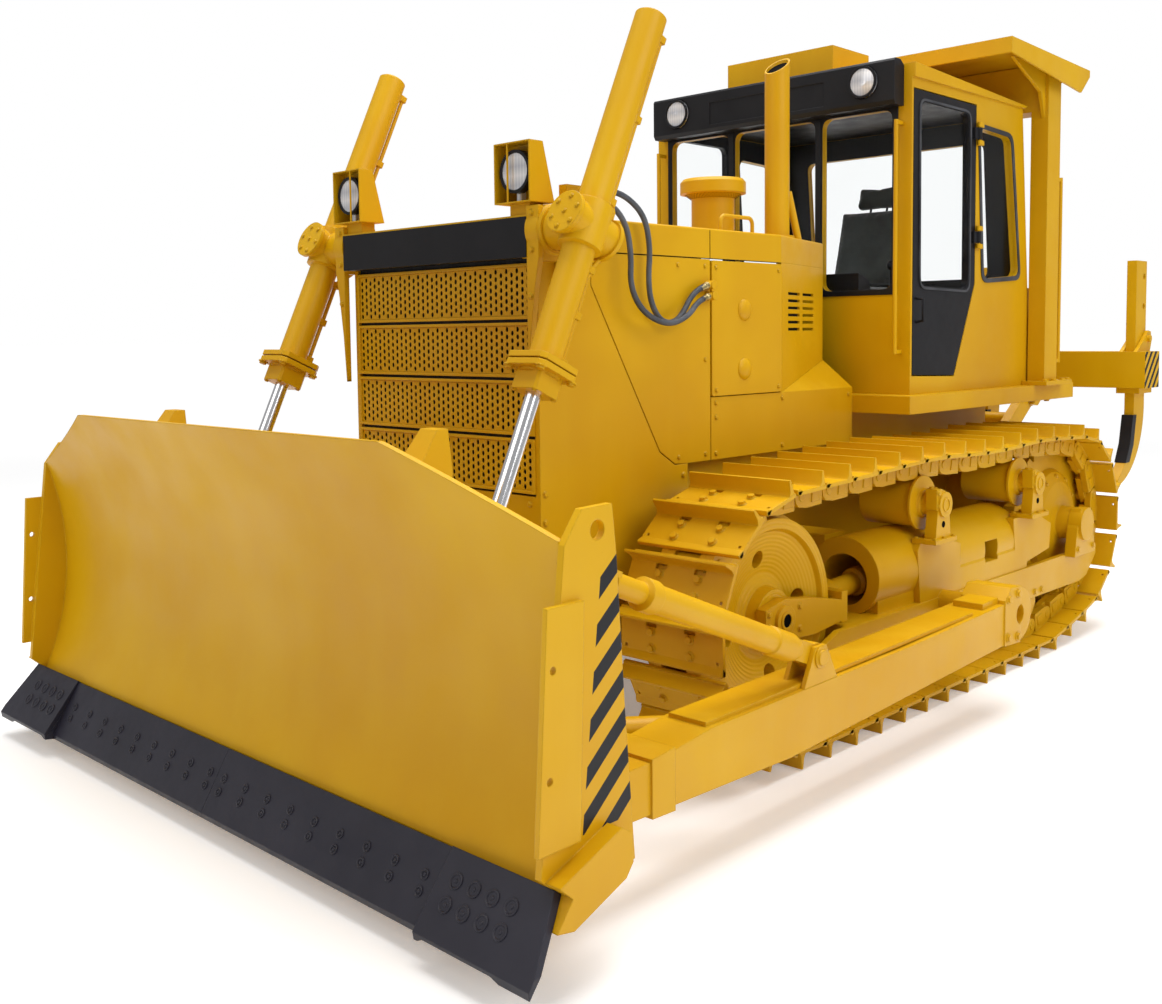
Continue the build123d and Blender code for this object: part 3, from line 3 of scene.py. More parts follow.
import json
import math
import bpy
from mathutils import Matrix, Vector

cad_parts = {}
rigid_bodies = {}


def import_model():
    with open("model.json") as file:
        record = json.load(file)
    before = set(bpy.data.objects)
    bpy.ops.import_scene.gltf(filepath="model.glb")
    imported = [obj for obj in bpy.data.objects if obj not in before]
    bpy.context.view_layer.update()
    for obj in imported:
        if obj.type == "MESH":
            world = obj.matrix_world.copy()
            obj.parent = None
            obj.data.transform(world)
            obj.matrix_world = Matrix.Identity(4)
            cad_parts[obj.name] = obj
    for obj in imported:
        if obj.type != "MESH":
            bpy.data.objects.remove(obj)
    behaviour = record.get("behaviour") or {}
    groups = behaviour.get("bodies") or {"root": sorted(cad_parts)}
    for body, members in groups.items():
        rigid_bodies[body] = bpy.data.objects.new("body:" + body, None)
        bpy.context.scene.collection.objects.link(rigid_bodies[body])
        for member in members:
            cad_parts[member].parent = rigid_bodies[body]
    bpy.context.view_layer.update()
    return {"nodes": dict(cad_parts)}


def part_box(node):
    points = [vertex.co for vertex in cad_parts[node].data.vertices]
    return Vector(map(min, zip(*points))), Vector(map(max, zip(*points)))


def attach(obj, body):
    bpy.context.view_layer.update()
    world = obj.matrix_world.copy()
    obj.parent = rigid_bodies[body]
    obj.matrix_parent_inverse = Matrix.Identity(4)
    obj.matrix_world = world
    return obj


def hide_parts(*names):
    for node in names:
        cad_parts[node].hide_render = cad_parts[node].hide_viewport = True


bl_info = {
    "name": "Crawler Bulldozer Dressing",
    "version": (1, 0, 0),
    "blender": (4, 5, 0),
    "location": "3D View > Sidebar > Bulldozer",
    "description": "Paints the bulldozer and adds its tracks, grille, bolts, hoses, lamps, trim and seat",
    "category": "Object",
}

import bmesh
import bpy
from mathutils import Matrix, Vector

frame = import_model()

# Places are given as (x, station, height) in metres: a station counts backwards along the machine from the
# foremost grouser on the ground, and STATION_ZERO is where that grouser lies in the frame.
STATION_ZERO = -1.186


def at(x, station, height):
    """The frame's point at a place on the machine."""
    return Vector((x, station + STATION_ZERO, height))


# ---- finishes ------------------------------------------------------------------------------------
class Finish:
    """A material being put together: adds nodes, wires them and keeps the shader at the end."""

    def __init__(self, name, **settings):
        self.material = bpy.data.materials.new(name)
        self.material.use_nodes = True
        self.tree = self.material.node_tree
        self.tree.nodes.clear()
        self.shader = self.node("ShaderNodeBsdfPrincipled")
        for label, value in settings.items():
            self.shader.inputs[label.replace("_", " ")].default_value = value
        output = self.node("ShaderNodeOutputMaterial")
        self.wire(self.shader.outputs[0], output.inputs[0])
        self.place = self.node("ShaderNodeTexCoord").outputs["Object"]

    def node(self, kind, **properties):
        made = self.tree.nodes.new(kind)
        for label, value in properties.items():
            setattr(made, label, value)
        return made

    def wire(self, source, target):
        if isinstance(source, bpy.types.NodeSocket):
            self.tree.links.new(source, target)
        else:
            target.default_value = source

    def to_shader(self, label, source):
        self.wire(source, self.shader.inputs[label])

    def noise(self, scale, detail=4.0, rough=0.55, place=None):
        made = self.node("ShaderNodeTexNoise")
        self.wire(place or self.place, made.inputs["Vector"])
        made.inputs["Scale"].default_value = scale
        made.inputs["Detail"].default_value = detail
        made.inputs["Roughness"].default_value = rough
        return made.outputs["Fac"]

    def stretched(self, x, y, z):
        """Object coordinates scaled along each axis."""
        made = self.node("ShaderNodeMapping")
        self.wire(self.place, made.inputs["Vector"])
        made.inputs["Scale"].default_value = (x, y, z)
        return made.outputs["Vector"]

    def math(self, operation, a, b=0.0, clamp=False):
        made = self.node("ShaderNodeMath", operation=operation, use_clamp=clamp)
        self.wire(a, made.inputs[0])
        self.wire(b, made.inputs[1])
        return made.outputs[0]

    def times(self, a, b, clamp=False):
        return self.math("MULTIPLY", a, b, clamp)

    def axes(self):
        made = self.node("ShaderNodeSeparateXYZ")
        self.wire(self.place, made.inputs[0])
        return made.outputs

    def between(self, value, low, high):
        """One where a value lies between two limits, and nought outside."""
        return self.times(self.math("GREATER_THAN", value, low), self.math("LESS_THAN", value, high))

    def spread(self, value, low, high, start=0.0, end=1.0):
        made = self.node("ShaderNodeMapRange")
        for index, given in enumerate((value, low, high, start, end)):
            self.wire(given, made.inputs[index])
        return made.outputs[0]

    def blend(self, share, a, b, mode="MIX"):
        made = self.node("ShaderNodeMix", data_type="RGBA", blend_type=mode)
        self.wire(share, made.inputs[0])
        self.wire(a, made.inputs[6])
        self.wire(b, made.inputs[7])
        return made.outputs[2]

    def edges(self, radius):
        """Rounded normal near edges, and how much it turns away from the flat one."""
        rounded = self.node("ShaderNodeBevel", samples=4)
        rounded.inputs["Radius"].default_value = radius
        flat = self.node("ShaderNodeNewGeometry").outputs["Normal"]
        turn = self.node("ShaderNodeVectorMath", operation="DOT_PRODUCT")
        self.wire(rounded.outputs[0], turn.inputs[0])
        self.wire(flat, turn.inputs[1])
        return rounded.outputs[0], self.math("SUBTRACT", 1.0, turn.outputs["Value"])

    def up_share(self):
        """How far a surface faces the sky, from 0 to 1."""
        parts = self.node("ShaderNodeSeparateXYZ")
        self.wire(self.node("ShaderNodeNewGeometry").outputs["Normal"], parts.inputs[0])
        return self.math("MAXIMUM", parts.outputs[2], 0.0)

    def bump(self, height, distance, strength=1.0, normal=None):
        made = self.node("ShaderNodeBump")
        made.inputs["Strength"].default_value = strength
        made.inputs["Distance"].default_value = distance
        self.wire(height, made.inputs["Height"])
        if normal is not None:
            self.wire(normal, made.inputs["Normal"])
        return made.outputs[0]

    def surface(self, colour, roughness, normal=None):
        """The material, with its colour, roughness and normal wired in."""
        for label, source in (("Base Color", colour), ("Roughness", roughness), ("Normal", normal)):
            if source is not None:
                self.to_shader(label, source)
        return self.material


def rgb(red, green, blue):
    return (red, green, blue, 1.0)


FLOOR_RADIUS = 400.0
FLOOR_FADE = (5.0, 16.0)      # distances from the middle between which the floor turns white
FLOOR_GLOW = 0.35             # share of that white which lights the machine

YELLOW = rgb(0.650, 0.365, 0.002)
YELLOW_DEEP = rgb(0.560, 0.285, 0.002)
YELLOW_PALE = rgb(0.720, 0.480, 0.020)
RUST = rgb(0.12, 0.06, 0.025)
BLACK = rgb(0.008, 0.008, 0.010)
RING_PITCH = 0.017            # of the rings turned into the idlers


def enamel(name, base, deep, pale, marks=None, rings=None, wear=0.55):
    """Sprayed enamel: drifting tone, paler edges, paler patches on surfaces that face up, small chips,
    orange-peel bump.
    """
    finish = Finish(name, Specular_IOR_Level=0.20, Coat_Weight=0.03, Coat_Roughness=0.25)
    drift = finish.noise(0.9, 3.0)
    colour = finish.blend(finish.spread(drift, 0.35, 0.68), base, deep)
    streak = finish.noise(2.2, 5.0, place=finish.stretched(2.4, 2.4, 0.35))
    colour = finish.blend(finish.spread(streak, 0.5, 0.8, 0.0, 0.12), colour, pale)
    rounded, turn = finish.edges(0.006)
    scuff = finish.noise(26.0, 6.0, 0.65)
    rubbed = finish.times(finish.spread(turn, 0.015, 0.22), finish.spread(scuff, 0.42, 0.6), clamp=True)
    colour = finish.blend(finish.times(rubbed, wear), colour, pale)
    # paler in patches where a surface faces up
    paler_on_top = finish.times(finish.up_share(), finish.spread(finish.noise(7.0, 6.0), 0.45, 0.75, 0.0, 0.25))
    colour = finish.blend(paler_on_top, colour, pale)
    chip = finish.times(finish.spread(finish.noise(60.0, 2.0), 0.70, 0.74),
                        finish.spread(turn, 0.03, 0.3), clamp=True)
    colour = finish.blend(finish.times(chip, 0.6), colour, RUST)
    height = finish.noise(420.0, 2.0)
    if marks:
        colour = finish.blend(marks(finish), colour, BLACK)
    if rings:
        grooves = rings(finish)
        colour = finish.blend(finish.spread(grooves, 0.55, 1.0, 0.0, 0.35), colour, deep)
        height = finish.math("ADD", finish.times(grooves, 6.0), height)
    return finish.surface(colour, finish.spread(finish.noise(5.0, 5.0), 0.3, 0.7, 0.30, 0.50),
                          finish.bump(height, 0.0004, 0.35, rounded))


def cheek_stripes(finish):
    """Slanted bars on the outer faces of the blade's cheeks."""
    x, y, z = finish.axes()
    side = finish.between(finish.math("ABSOLUTE", x), 1.6425, 1.6455)
    slope = finish.math("ADD", y, finish.times(z, -0.115))
    field = finish.times(finish.between(slope, STATION_ZERO - 1.735, STATION_ZERO - 1.40),
                         finish.between(z, 0.41, 1.17))
    run = finish.math("SUBTRACT", z, finish.times(y, 0.85))
    bars = finish.math("LESS_THAN", finish.math("PINGPONG", run, 0.0575), 0.0275)
    return finish.times(finish.times(side, field), bars)


def beam_stripes(finish):
    """Slanted bars on both ends of the ripper's beam."""
    x, y, z = finish.axes()
    side = finish.math("GREATER_THAN", finish.math("ABSOLUTE", x), 1.0985)
    run = finish.math("SUBTRACT", z, finish.times(y, 1.1))
    bars = finish.math("LESS_THAN", finish.math("PINGPONG", run, 0.044), 0.021)
    return finish.times(side, bars)


def turned_rings(centre_y, centre_z, pitch):
    """Fine rings left by turning, about an axle across the machine."""
    def rings(finish):
        x, y, z = finish.axes()
        dy, dz = finish.math("SUBTRACT", y, centre_y), finish.math("SUBTRACT", z, centre_z)
        reach = finish.math("SQRT", finish.math("ADD", finish.math("POWER", finish.math("ABSOLUTE", dy), 2.0),
                                                finish.math("POWER", finish.math("ABSOLUTE", dz), 2.0)))
        wave = finish.math("SINE", finish.times(reach, 2 * math.pi / pitch))
        return finish.spread(wave, -1.0, 1.0)
    return rings


def black_enamel(name, base, roughness=(0.32, 0.5), wear_colour=rgb(0.022, 0.022, 0.026), gloss=0.22):
    """Dark satin paint or moulding with greyed edges and a fine grain."""
    finish = Finish(name, Specular_IOR_Level=gloss)
    rounded, turn = finish.edges(0.005)
    tone = finish.spread(finish.noise(3.0, 5.0), 0.3, 0.75, 0.0, 0.35)
    colour = finish.blend(tone, base, wear_colour)
    rub = finish.times(finish.spread(turn, 0.02, 0.25), finish.spread(finish.noise(30.0, 5.0), 0.4, 0.6))
    colour = finish.blend(finish.times(rub, 0.6), colour, wear_colour)
    return finish.surface(colour, finish.spread(finish.noise(9.0, 4.0), 0.3, 0.7, *roughness),
                          finish.bump(finish.noise(260.0, 3.0), 0.0004, 0.4, rounded))


def chrome():
    """Polished rod with faint lengthwise scuffs."""
    finish = Finish("chrome_rod", Metallic=1.0)
    scuff = finish.noise(14.0, 5.0, place=finish.stretched(9.0, 9.0, 1.0))
    worn = finish.spread(scuff, 0.4, 0.8, 0.0, 0.5)
    return finish.surface(finish.blend(worn, rgb(0.86, 0.86, 0.88), rgb(0.62, 0.62, 0.66)),
                          finish.spread(scuff, 0.3, 0.8, 0.10, 0.26), finish.bump(scuff, 0.0001, 0.3))


def glass():
    """Faintly grey safety glass with a little dirt."""
    finish = Finish("window_glass", Transmission_Weight=1.0, IOR=1.06)
    dirt = finish.spread(finish.noise(4.0, 6.0), 0.55, 0.8, 0.0, 0.12)
    return finish.surface(finish.blend(dirt, rgb(0.975, 0.985, 0.985), rgb(0.86, 0.86, 0.83)),
                          finish.spread(dirt, 0.0, 0.12, 0.01, 0.12))


def rubber(name="rubber_black", base=rgb(0.022, 0.024, 0.030), pale=rgb(0.075, 0.078, 0.088)):
    """Matt rubber, dusty in places."""
    finish = Finish(name, Roughness=0.62)
    tone = finish.spread(finish.noise(8.0, 6.0), 0.35, 0.75)
    return finish.surface(finish.blend(tone, base, pale), finish.spread(tone, 0.0, 1.0, 0.5, 0.72),
                          finish.bump(finish.noise(500.0, 3.0), 0.0004, 0.5))


def radiator_core():
    """Dark fins and tubes behind the grille."""
    finish = Finish("radiator_core", Roughness=0.7)
    x, y, z = finish.axes()
    fins = finish.math("PINGPONG", z, 0.004)
    tubes = finish.math("PINGPONG", x, 0.012)
    shade = finish.blend(finish.spread(tubes, 0.0, 0.012), rgb(0.004, 0.004, 0.004), rgb(0.022, 0.020, 0.017))
    return finish.surface(finish.blend(finish.noise(12.0), shade, rgb(0.010, 0.009, 0.008)),
                          finish.spread(finish.noise(20.0), 0.3, 0.7, 0.6, 0.8),
                          finish.bump(fins, 0.004, 0.6))


def lens_glass():
    """Clear lamp lens with pressed flutes, paler on their ridges and darker between them: painted highlights
    and shade.
    """
    finish = Finish("lamp_lens", Coat_Weight=1.0, Coat_Roughness=0.05, Metallic=0.35)
    x, y, z = finish.axes()
    flutes = finish.math("PINGPONG", x, 0.008)
    bands = finish.math("PINGPONG", z, 0.035)
    # painted highlights and shade: colour paler on the ridges of the flutes and bands, darker in their
    # grooves
    height = finish.math("ADD", finish.times(flutes, 40.0), finish.times(bands, 14.0))
    tone = finish.spread(height, 0.1, 0.75)
    colour = finish.blend(tone, rgb(0.52, 0.54, 0.60), rgb(0.92, 0.92, 0.94))
    haze = finish.spread(finish.noise(9.0), 0.4, 0.8, 0.0, 0.3)
    return finish.surface(finish.blend(haze, colour, rgb(0.35, 0.37, 0.42)),
                          finish.spread(finish.noise(30.0), 0.3, 0.7, 0.10, 0.25),
                          finish.bump(flutes, 0.01, 0.5))


def brass():
    """Plated hose ends."""
    finish = Finish("plated_brass", Metallic=1.0)
    stain = finish.noise(40.0, 5.0)
    tone = finish.spread(stain, 0.35, 0.7)
    return finish.surface(finish.blend(tone, rgb(0.62, 0.50, 0.22), rgb(0.30, 0.24, 0.12)),
                          finish.spread(stain, 0.3, 0.7, 0.25, 0.5),
                          finish.bump(finish.noise(200.0), 0.0003, 0.4))


def seat_cloth():
    """Dark woven seat fabric."""
    finish = Finish("seat_cloth", Sheen_Weight=0.4)
    weave = finish.node("ShaderNodeTexVoronoi")
    weave.inputs["Scale"].default_value = 420.0
    finish.wire(finish.place, weave.inputs["Vector"])
    tone = finish.spread(finish.noise(6.0, 5.0), 0.3, 0.7)
    return finish.surface(finish.blend(tone, rgb(0.016, 0.019, 0.018), rgb(0.045, 0.052, 0.048)),
                          finish.spread(finish.noise(60.0), 0.3, 0.7, 0.8, 0.95),
                          finish.bump(weave.outputs["Distance"], 0.001, 0.5))


def straight_ray(tree):
    """One for a ray that comes from the camera, through glass or not, and nought for light on the machine."""
    rays = tree.nodes.new("ShaderNodeLightPath")
    either = tree.nodes.new("ShaderNodeMath")
    either.operation = "MAXIMUM"
    tree.links.new(rays.outputs["Is Camera Ray"], either.inputs[0])
    tree.links.new(rays.outputs["Is Transmission Ray"], either.inputs[1])
    return either.outputs[0]


def floor_finish():
    """Plain pale studio floor that fades into the white background far from the machine."""
    finish = Finish("studio_floor", Roughness=0.8, Specular_IOR_Level=0.1)
    x, y, z = finish.axes()
    away = finish.math("SQRT", finish.math("ADD", finish.times(x, x), finish.times(y, y)))
    fade = finish.spread(away, *FLOOR_FADE)
    finish.to_shader("Base Color", finish.blend(fade, rgb(0.90, 0.90, 0.90), rgb(0.0, 0.0, 0.0)))
    finish.to_shader("Emission Color", rgb(1.0, 1.0, 1.0))
    glow = finish.spread(fade, 0.0, 1.0, 0.22, 1.0)
    share = finish.spread(straight_ray(finish.tree), 0.0, 1.0, FLOOR_GLOW, 1.0)
    finish.to_shader("Emission Strength", finish.times(glow, share))
    return finish.material


FINISHES = {}
PAINTS = {                    # name: (label, base colour, tone it drifts to, further settings)
    "paint": ("yellow_enamel", YELLOW, YELLOW_DEEP, {}),
    "blade": ("blade_enamel", YELLOW, YELLOW_DEEP, dict(marks=cheek_stripes)),
    "beam": ("beam_enamel", YELLOW, YELLOW_DEEP, dict(marks=beam_stripes)),
    "track": ("track_enamel", YELLOW, YELLOW_DEEP, dict(wear=0.8)),
    "idler": ("turned_enamel", YELLOW_DEEP, YELLOW, {}),
}
DARKS = {                     # name: what black_enamel is given
    "black": ("black_enamel", BLACK),
    "edge": ("edge_steel", rgb(0.012, 0.011, 0.020), (0.32, 0.55), rgb(0.040, 0.038, 0.056), 0.4),
    "engine": ("engine_grey", rgb(0.05, 0.05, 0.05), (0.5, 0.7)),
    # soot inside the exhaust and dark seam lines, and painted shade in holes, cut-outs and the exhaust's
    # mouth
    "soot_and_shade": ("soot_and_shade_black", rgb(0.002, 0.002, 0.002), (0.8, 0.95), rgb(0.005, 0.004, 0.004), 0.05),
}
HOSE_RUBBER = ("hose_rubber", rgb(0.060, 0.068, 0.085), rgb(0.14, 0.15, 0.17))
OTHERS = {"chrome": chrome, "glass": glass, "rubber": rubber, "core": radiator_core, "lens": lens_glass,
          "brass": brass, "cloth": seat_cloth, "floor": floor_finish}


def made_finish(name):
    """The material of a finish."""
    if name in PAINTS:
        label, base, deep, settings = PAINTS[name]
        if name == "idler":
            low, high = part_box("idlers")
            settings = dict(rings=turned_rings((low[1] + high[1]) / 2, (low[2] + high[2]) / 2, RING_PITCH))
        return enamel(label, base, deep, YELLOW_PALE, **settings)
    if name in DARKS:
        return black_enamel(*DARKS[name])
    return rubber(*HOSE_RUBBER) if name == "hose" else OTHERS[name]()


def finish_named(name):
    """A finish by name, made when it is first asked for."""
    if name not in FINISHES:
        FINISHES[name] = made_finish(name)
    return FINISHES[name]


# ---- shapes --------------------------------------------------------------------------------------
def linked(name, data):
    """A new object of the scene."""
    made = bpy.data.objects.new(name, data)
    bpy.context.scene.collection.objects.link(made)
    return made


def modified_mesh(piece):
    """A piece's mesh, with its modifiers applied."""
    bpy.context.view_layer.update()
    return bpy.data.meshes.new_from_object(piece.evaluated_get(bpy.context.evaluated_depsgraph_get()))


def closed_mesh(name, bm):
    """A mesh out of one under construction, with its faces turned outwards."""
    bmesh.ops.recalc_face_normals(bm, faces=bm.faces)
    mesh = bpy.data.meshes.new(name)
    bm.to_mesh(mesh)
    bm.free()
    return mesh


def rectangle(across, up):
    return [(across[0], up[0]), (across[1], up[0]), (across[1], up[1]), (across[0], up[1])]


def add_prism(bm, outline, x0, x1, place=at):
    """A closed side outline, thick from x0 to x1; place(x, *point) gives its points."""
    near, far = [[bm.verts.new(place(x, *point)) for point in outline] for x in (x0, x1)]
    bm.faces.new(near)
    bm.faces.new(far[::-1])
    for i in range(len(outline)):
        j = (i + 1) % len(outline)
        bm.faces.new((near[j], near[i], far[i], far[j]))


def add_box(bm, x, station, height):
    """A box between two values on each axis."""
    add_prism(bm, rectangle(station, height), *x)


def square_to(axis):
    """Two unit vectors square to an axis and to each other."""
    axis = axis.normalized()
    side = axis.cross(Vector((0, 0, 1)) if abs(axis.z) < 0.9 else Vector((1, 0, 0))).normalized()
    return side, axis.cross(side)


def circle(centre, axis, radius, count, start=0.0):
    """Points at equal steps around an axis."""
    side, other = square_to(axis)
    angles = [start + 2 * math.pi * k / count for k in range(count)]
    return [centre + side * (radius * math.cos(a)) + other * (radius * math.sin(a)) for a in angles]


def add_turned(bm, origin, axis, profile, sides=24):
    """A turned form: (distance along the axis, radius) points, closed at both ends."""
    step = axis.normalized()
    rings = []
    for distance, radius in profile:
        middle = origin + step * distance
        points = circle(middle, axis, radius, sides) if radius >= 1e-6 else [middle]
        rings.append([bm.verts.new(point) for point in points])
    for a, b in zip(rings, rings[1:]):
        for k in range(sides):
            n = (k + 1) % sides
            corners = [a[k % len(a)], a[n % len(a)], b[n % len(b)], b[k % len(b)]]
            corners = [c for i, c in enumerate(corners) if c is not corners[i - 1]]
            if len(corners) > 2:
                bm.faces.new(corners)
    for ring, flip in ((rings[0], True), (rings[-1], False)):
        if len(ring) > 1:
            bm.faces.new(ring[::-1] if flip else ring)


def add_tube(bm, points, radius, sides=10):
    """A round bar along straight runs, mitred at the corners."""
    rings = []
    for i, point in enumerate(points):
        before = (point - points[i - 1]).normalized() if i else None
        after = (points[i + 1] - point).normalized() if i + 1 < len(points) else None
        tangent = ((before or after) + (after or before)).normalized()
        rings.append([bm.verts.new(spot) for spot in circle(point, tangent, radius, sides)])
    for a, b in zip(rings, rings[1:]):
        start = min(range(sides), key=lambda k: (b[k].co - a[0].co).length)
        for k in range(sides):
            n = (k + 1) % sides
            bm.faces.new((a[k], a[n], b[(start + n) % sides], b[(start + k) % sides]))
    bm.faces.new(rings[0][::-1])
    bm.faces.new(rings[-1])


def add_plate(bm, xs, ys, holes, place, low, high):
    """A plate of cells between the values of xs and ys, open at the holes; place gives a point."""
    corners = {}

    def corner(i, j, level):
        if (i, j, level) not in corners:
            corners[i, j, level] = bm.verts.new(place(xs[i], ys[j], level))
        return corners[i, j, level]

    kept = {(i, j) for i in range(len(xs) - 1) for j in range(len(ys) - 1)} - set(holes)
    for i, j in sorted(kept):
        for level in (low, high):
            bm.faces.new([corner(i, j, level), corner(i + 1, j, level), corner(i + 1, j + 1, level),
                          corner(i, j + 1, level)])
        for other, a, b in (((i - 1, j), (i, j), (i, j + 1)), ((i + 1, j), (i + 1, j), (i + 1, j + 1)),
                            ((i, j - 1), (i, j), (i + 1, j)), ((i, j + 1), (i, j + 1), (i + 1, j + 1))):
            if other not in kept:
                bm.faces.new([corner(*a, low), corner(*b, low), corner(*b, high), corner(*a, high)])


def add_washer(bm, origin, axis, start, end, inner, outer, sides=28):
    """A round ring between two distances along an axis and two radii."""
    step = axis.normalized()
    loops = [[bm.verts.new(point) for point in circle(origin + step * distance, axis, radius, sides)]
             for distance, radius in ((start, inner), (start, outer), (end, outer), (end, inner))]
    for a, b in zip(loops, loops[1:] + loops[:1]):
        for k in range(sides):
            n = (k + 1) % sides
            bm.faces.new((a[k], a[n], b[n], b[k]))


def finished(name, bm, finish, body, smooth=30.0):
    """Turns a mesh under construction into a piece of a body, with its material and soft shading."""
    return placed(name, closed_mesh(name, bm), finish, body, smooth)


def placed(name, mesh, finish, body, smooth=30.0):
    """A piece made of a mesh, riding on a body."""
    mesh.materials.clear()
    mesh.materials.append(finish_named(finish))
    for face in mesh.polygons:
        face.use_smooth = True
    mesh.set_sharp_from_angle(angle=math.radians(smooth))
    piece = linked(name, mesh)
    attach(piece, body)
    return piece


# ---- geometry node trees -------------------------------------------------------------------------
class Pattern:
    """A geometry node tree with named inputs, used through a modifier and turned into a plain mesh."""

    def __init__(self, name, inputs):
        self.tree = bpy.data.node_groups.new(name, "GeometryNodeTree")
        self.tree.is_modifier = True
        kinds = {"Geometry": "NodeSocketGeometry", "Length": "NodeSocketFloat", "Object": "NodeSocketObject",
                 "Material": "NodeSocketMaterial", "Count": "NodeSocketInt"}
        self.ids = {}
        sockets = self.tree.interface
        for label, kind in {"Geometry": "Geometry", **inputs, "Material": "Material"}.items():
            self.ids[label] = sockets.new_socket(label, in_out="INPUT", socket_type=kinds[kind]).identifier
        sockets.new_socket("Geometry", in_out="OUTPUT", socket_type="NodeSocketGeometry")
        self.start = self.tree.nodes.new("NodeGroupInput").outputs

    def node(self, kind, inputs=None, **properties):
        made = self.tree.nodes.new(kind)
        for label, value in properties.items():
            setattr(made, label, value)
        for label, value in (inputs or {}).items():
            socket = made.inputs[label]
            if isinstance(value, bpy.types.NodeSocket):
                self.tree.links.new(value, socket)
            else:
                socket.default_value = value
        return made

    def attribute(self, name, kind):
        made = self.node("GeometryNodeInputNamedAttribute", data_type=kind)
        made.inputs["Name"].default_value = name
        return made.outputs["Attribute"]

    def halved(self, value):
        half = self.node("ShaderNodeMath", operation="MULTIPLY")
        half.inputs[1].default_value = 0.5
        self.tree.links.new(value, half.inputs[0])
        return half.outputs[0]

    def joined(self, *parts):
        both = self.node("GeometryNodeJoinGeometry")
        for part in parts:
            self.tree.links.new(part.outputs[0], both.inputs[0])
        return both.outputs[0]

    def close(self, instances):
        """Ends the tree: makes the copies real and gives them their material."""
        real = self.node("GeometryNodeRealizeInstances", {"Geometry": instances})
        dressed = self.node("GeometryNodeSetMaterial",
                            {"Geometry": real.outputs[0], "Material": self.start["Material"]})
        output = self.tree.nodes.new("NodeGroupOutput")
        self.tree.links.new(dressed.outputs[0], output.inputs[0])

    def grow(self, name, seed_mesh, finish, **values):
        """The tree's result on a mesh of points, as a plain mesh."""
        carrier = linked(name + "_seed", seed_mesh)
        modifier = carrier.modifiers.new(self.tree.name, "NODES")
        modifier.node_group = self.tree
        for label, value in {"Material": finish_named(finish), **values}.items():
            modifier[self.ids[label]] = value
        grown = modified_mesh(carrier)
        grown.name = name
        bpy.data.objects.remove(carrier)
        return grown


def points_mesh(name, points, **attributes):
    """A mesh of loose points, each with its own values, which are numbers or vectors."""
    mesh = bpy.data.meshes.new(name)
    mesh.from_pydata([tuple(point) for point in points], [], [])
    for label, values in attributes.items():
        if isinstance(values[0], (float, int)):
            mesh.attributes.new(label, "FLOAT", "POINT").data.foreach_set("value", [float(v) for v in values])
        else:
            flat = [part for value in values for part in value]
            mesh.attributes.new(label, "FLOAT_VECTOR", "POINT").data.foreach_set("vector", flat)
    return mesh


def head_pattern():
    """Hexagon heads on washers, or low round heads, at points that carry a facing and a size."""
    pattern = Pattern("fastener_heads", {"Sides": "Count", "Rise": "Length", "Washer": "Length"})
    head = pattern.node("GeometryNodeMeshCylinder", {"Vertices": pattern.start["Sides"], "Radius": 1.0,
                                                     "Depth": pattern.start["Rise"]})
    washer = pattern.node("GeometryNodeMeshCylinder",
                          {"Vertices": 12, "Radius": pattern.start["Washer"], "Depth": 0.4})
    lift = pattern.node("ShaderNodeCombineXYZ", {"Z": pattern.halved(pattern.start["Rise"])})
    raised = pattern.node("GeometryNodeTransform",
                          {"Geometry": head.outputs["Mesh"], "Translation": lift.outputs[0]})
    both = pattern.joined(raised, washer)
    facing = pattern.node("FunctionNodeAlignRotationToVector",
                          {"Vector": pattern.attribute("facing", "FLOAT_VECTOR")}, axis="Z")
    copies = pattern.node("GeometryNodeInstanceOnPoints", {
        "Points": pattern.start["Geometry"], "Instance": both, "Rotation": facing.outputs[0],
        "Scale": pattern.attribute("size", "FLOAT")})
    pattern.close(copies.outputs[0])
    return pattern


def chain_pattern():
    """One link of the track at every pin, turned as the chain runs."""
    pattern = Pattern("track_chain", {"Link": "Object"})
    link = pattern.node("GeometryNodeObjectInfo", {"Object": pattern.start["Link"]})
    turn = pattern.node("FunctionNodeEulerToRotation", {"Euler": pattern.attribute("turn", "FLOAT_VECTOR")})
    copies = pattern.node("GeometryNodeInstanceOnPoints", {
        "Points": pattern.start["Geometry"], "Instance": link.outputs["Geometry"],
        "Rotation": turn.outputs[0]})
    pattern.close(copies.outputs[0])
    return pattern


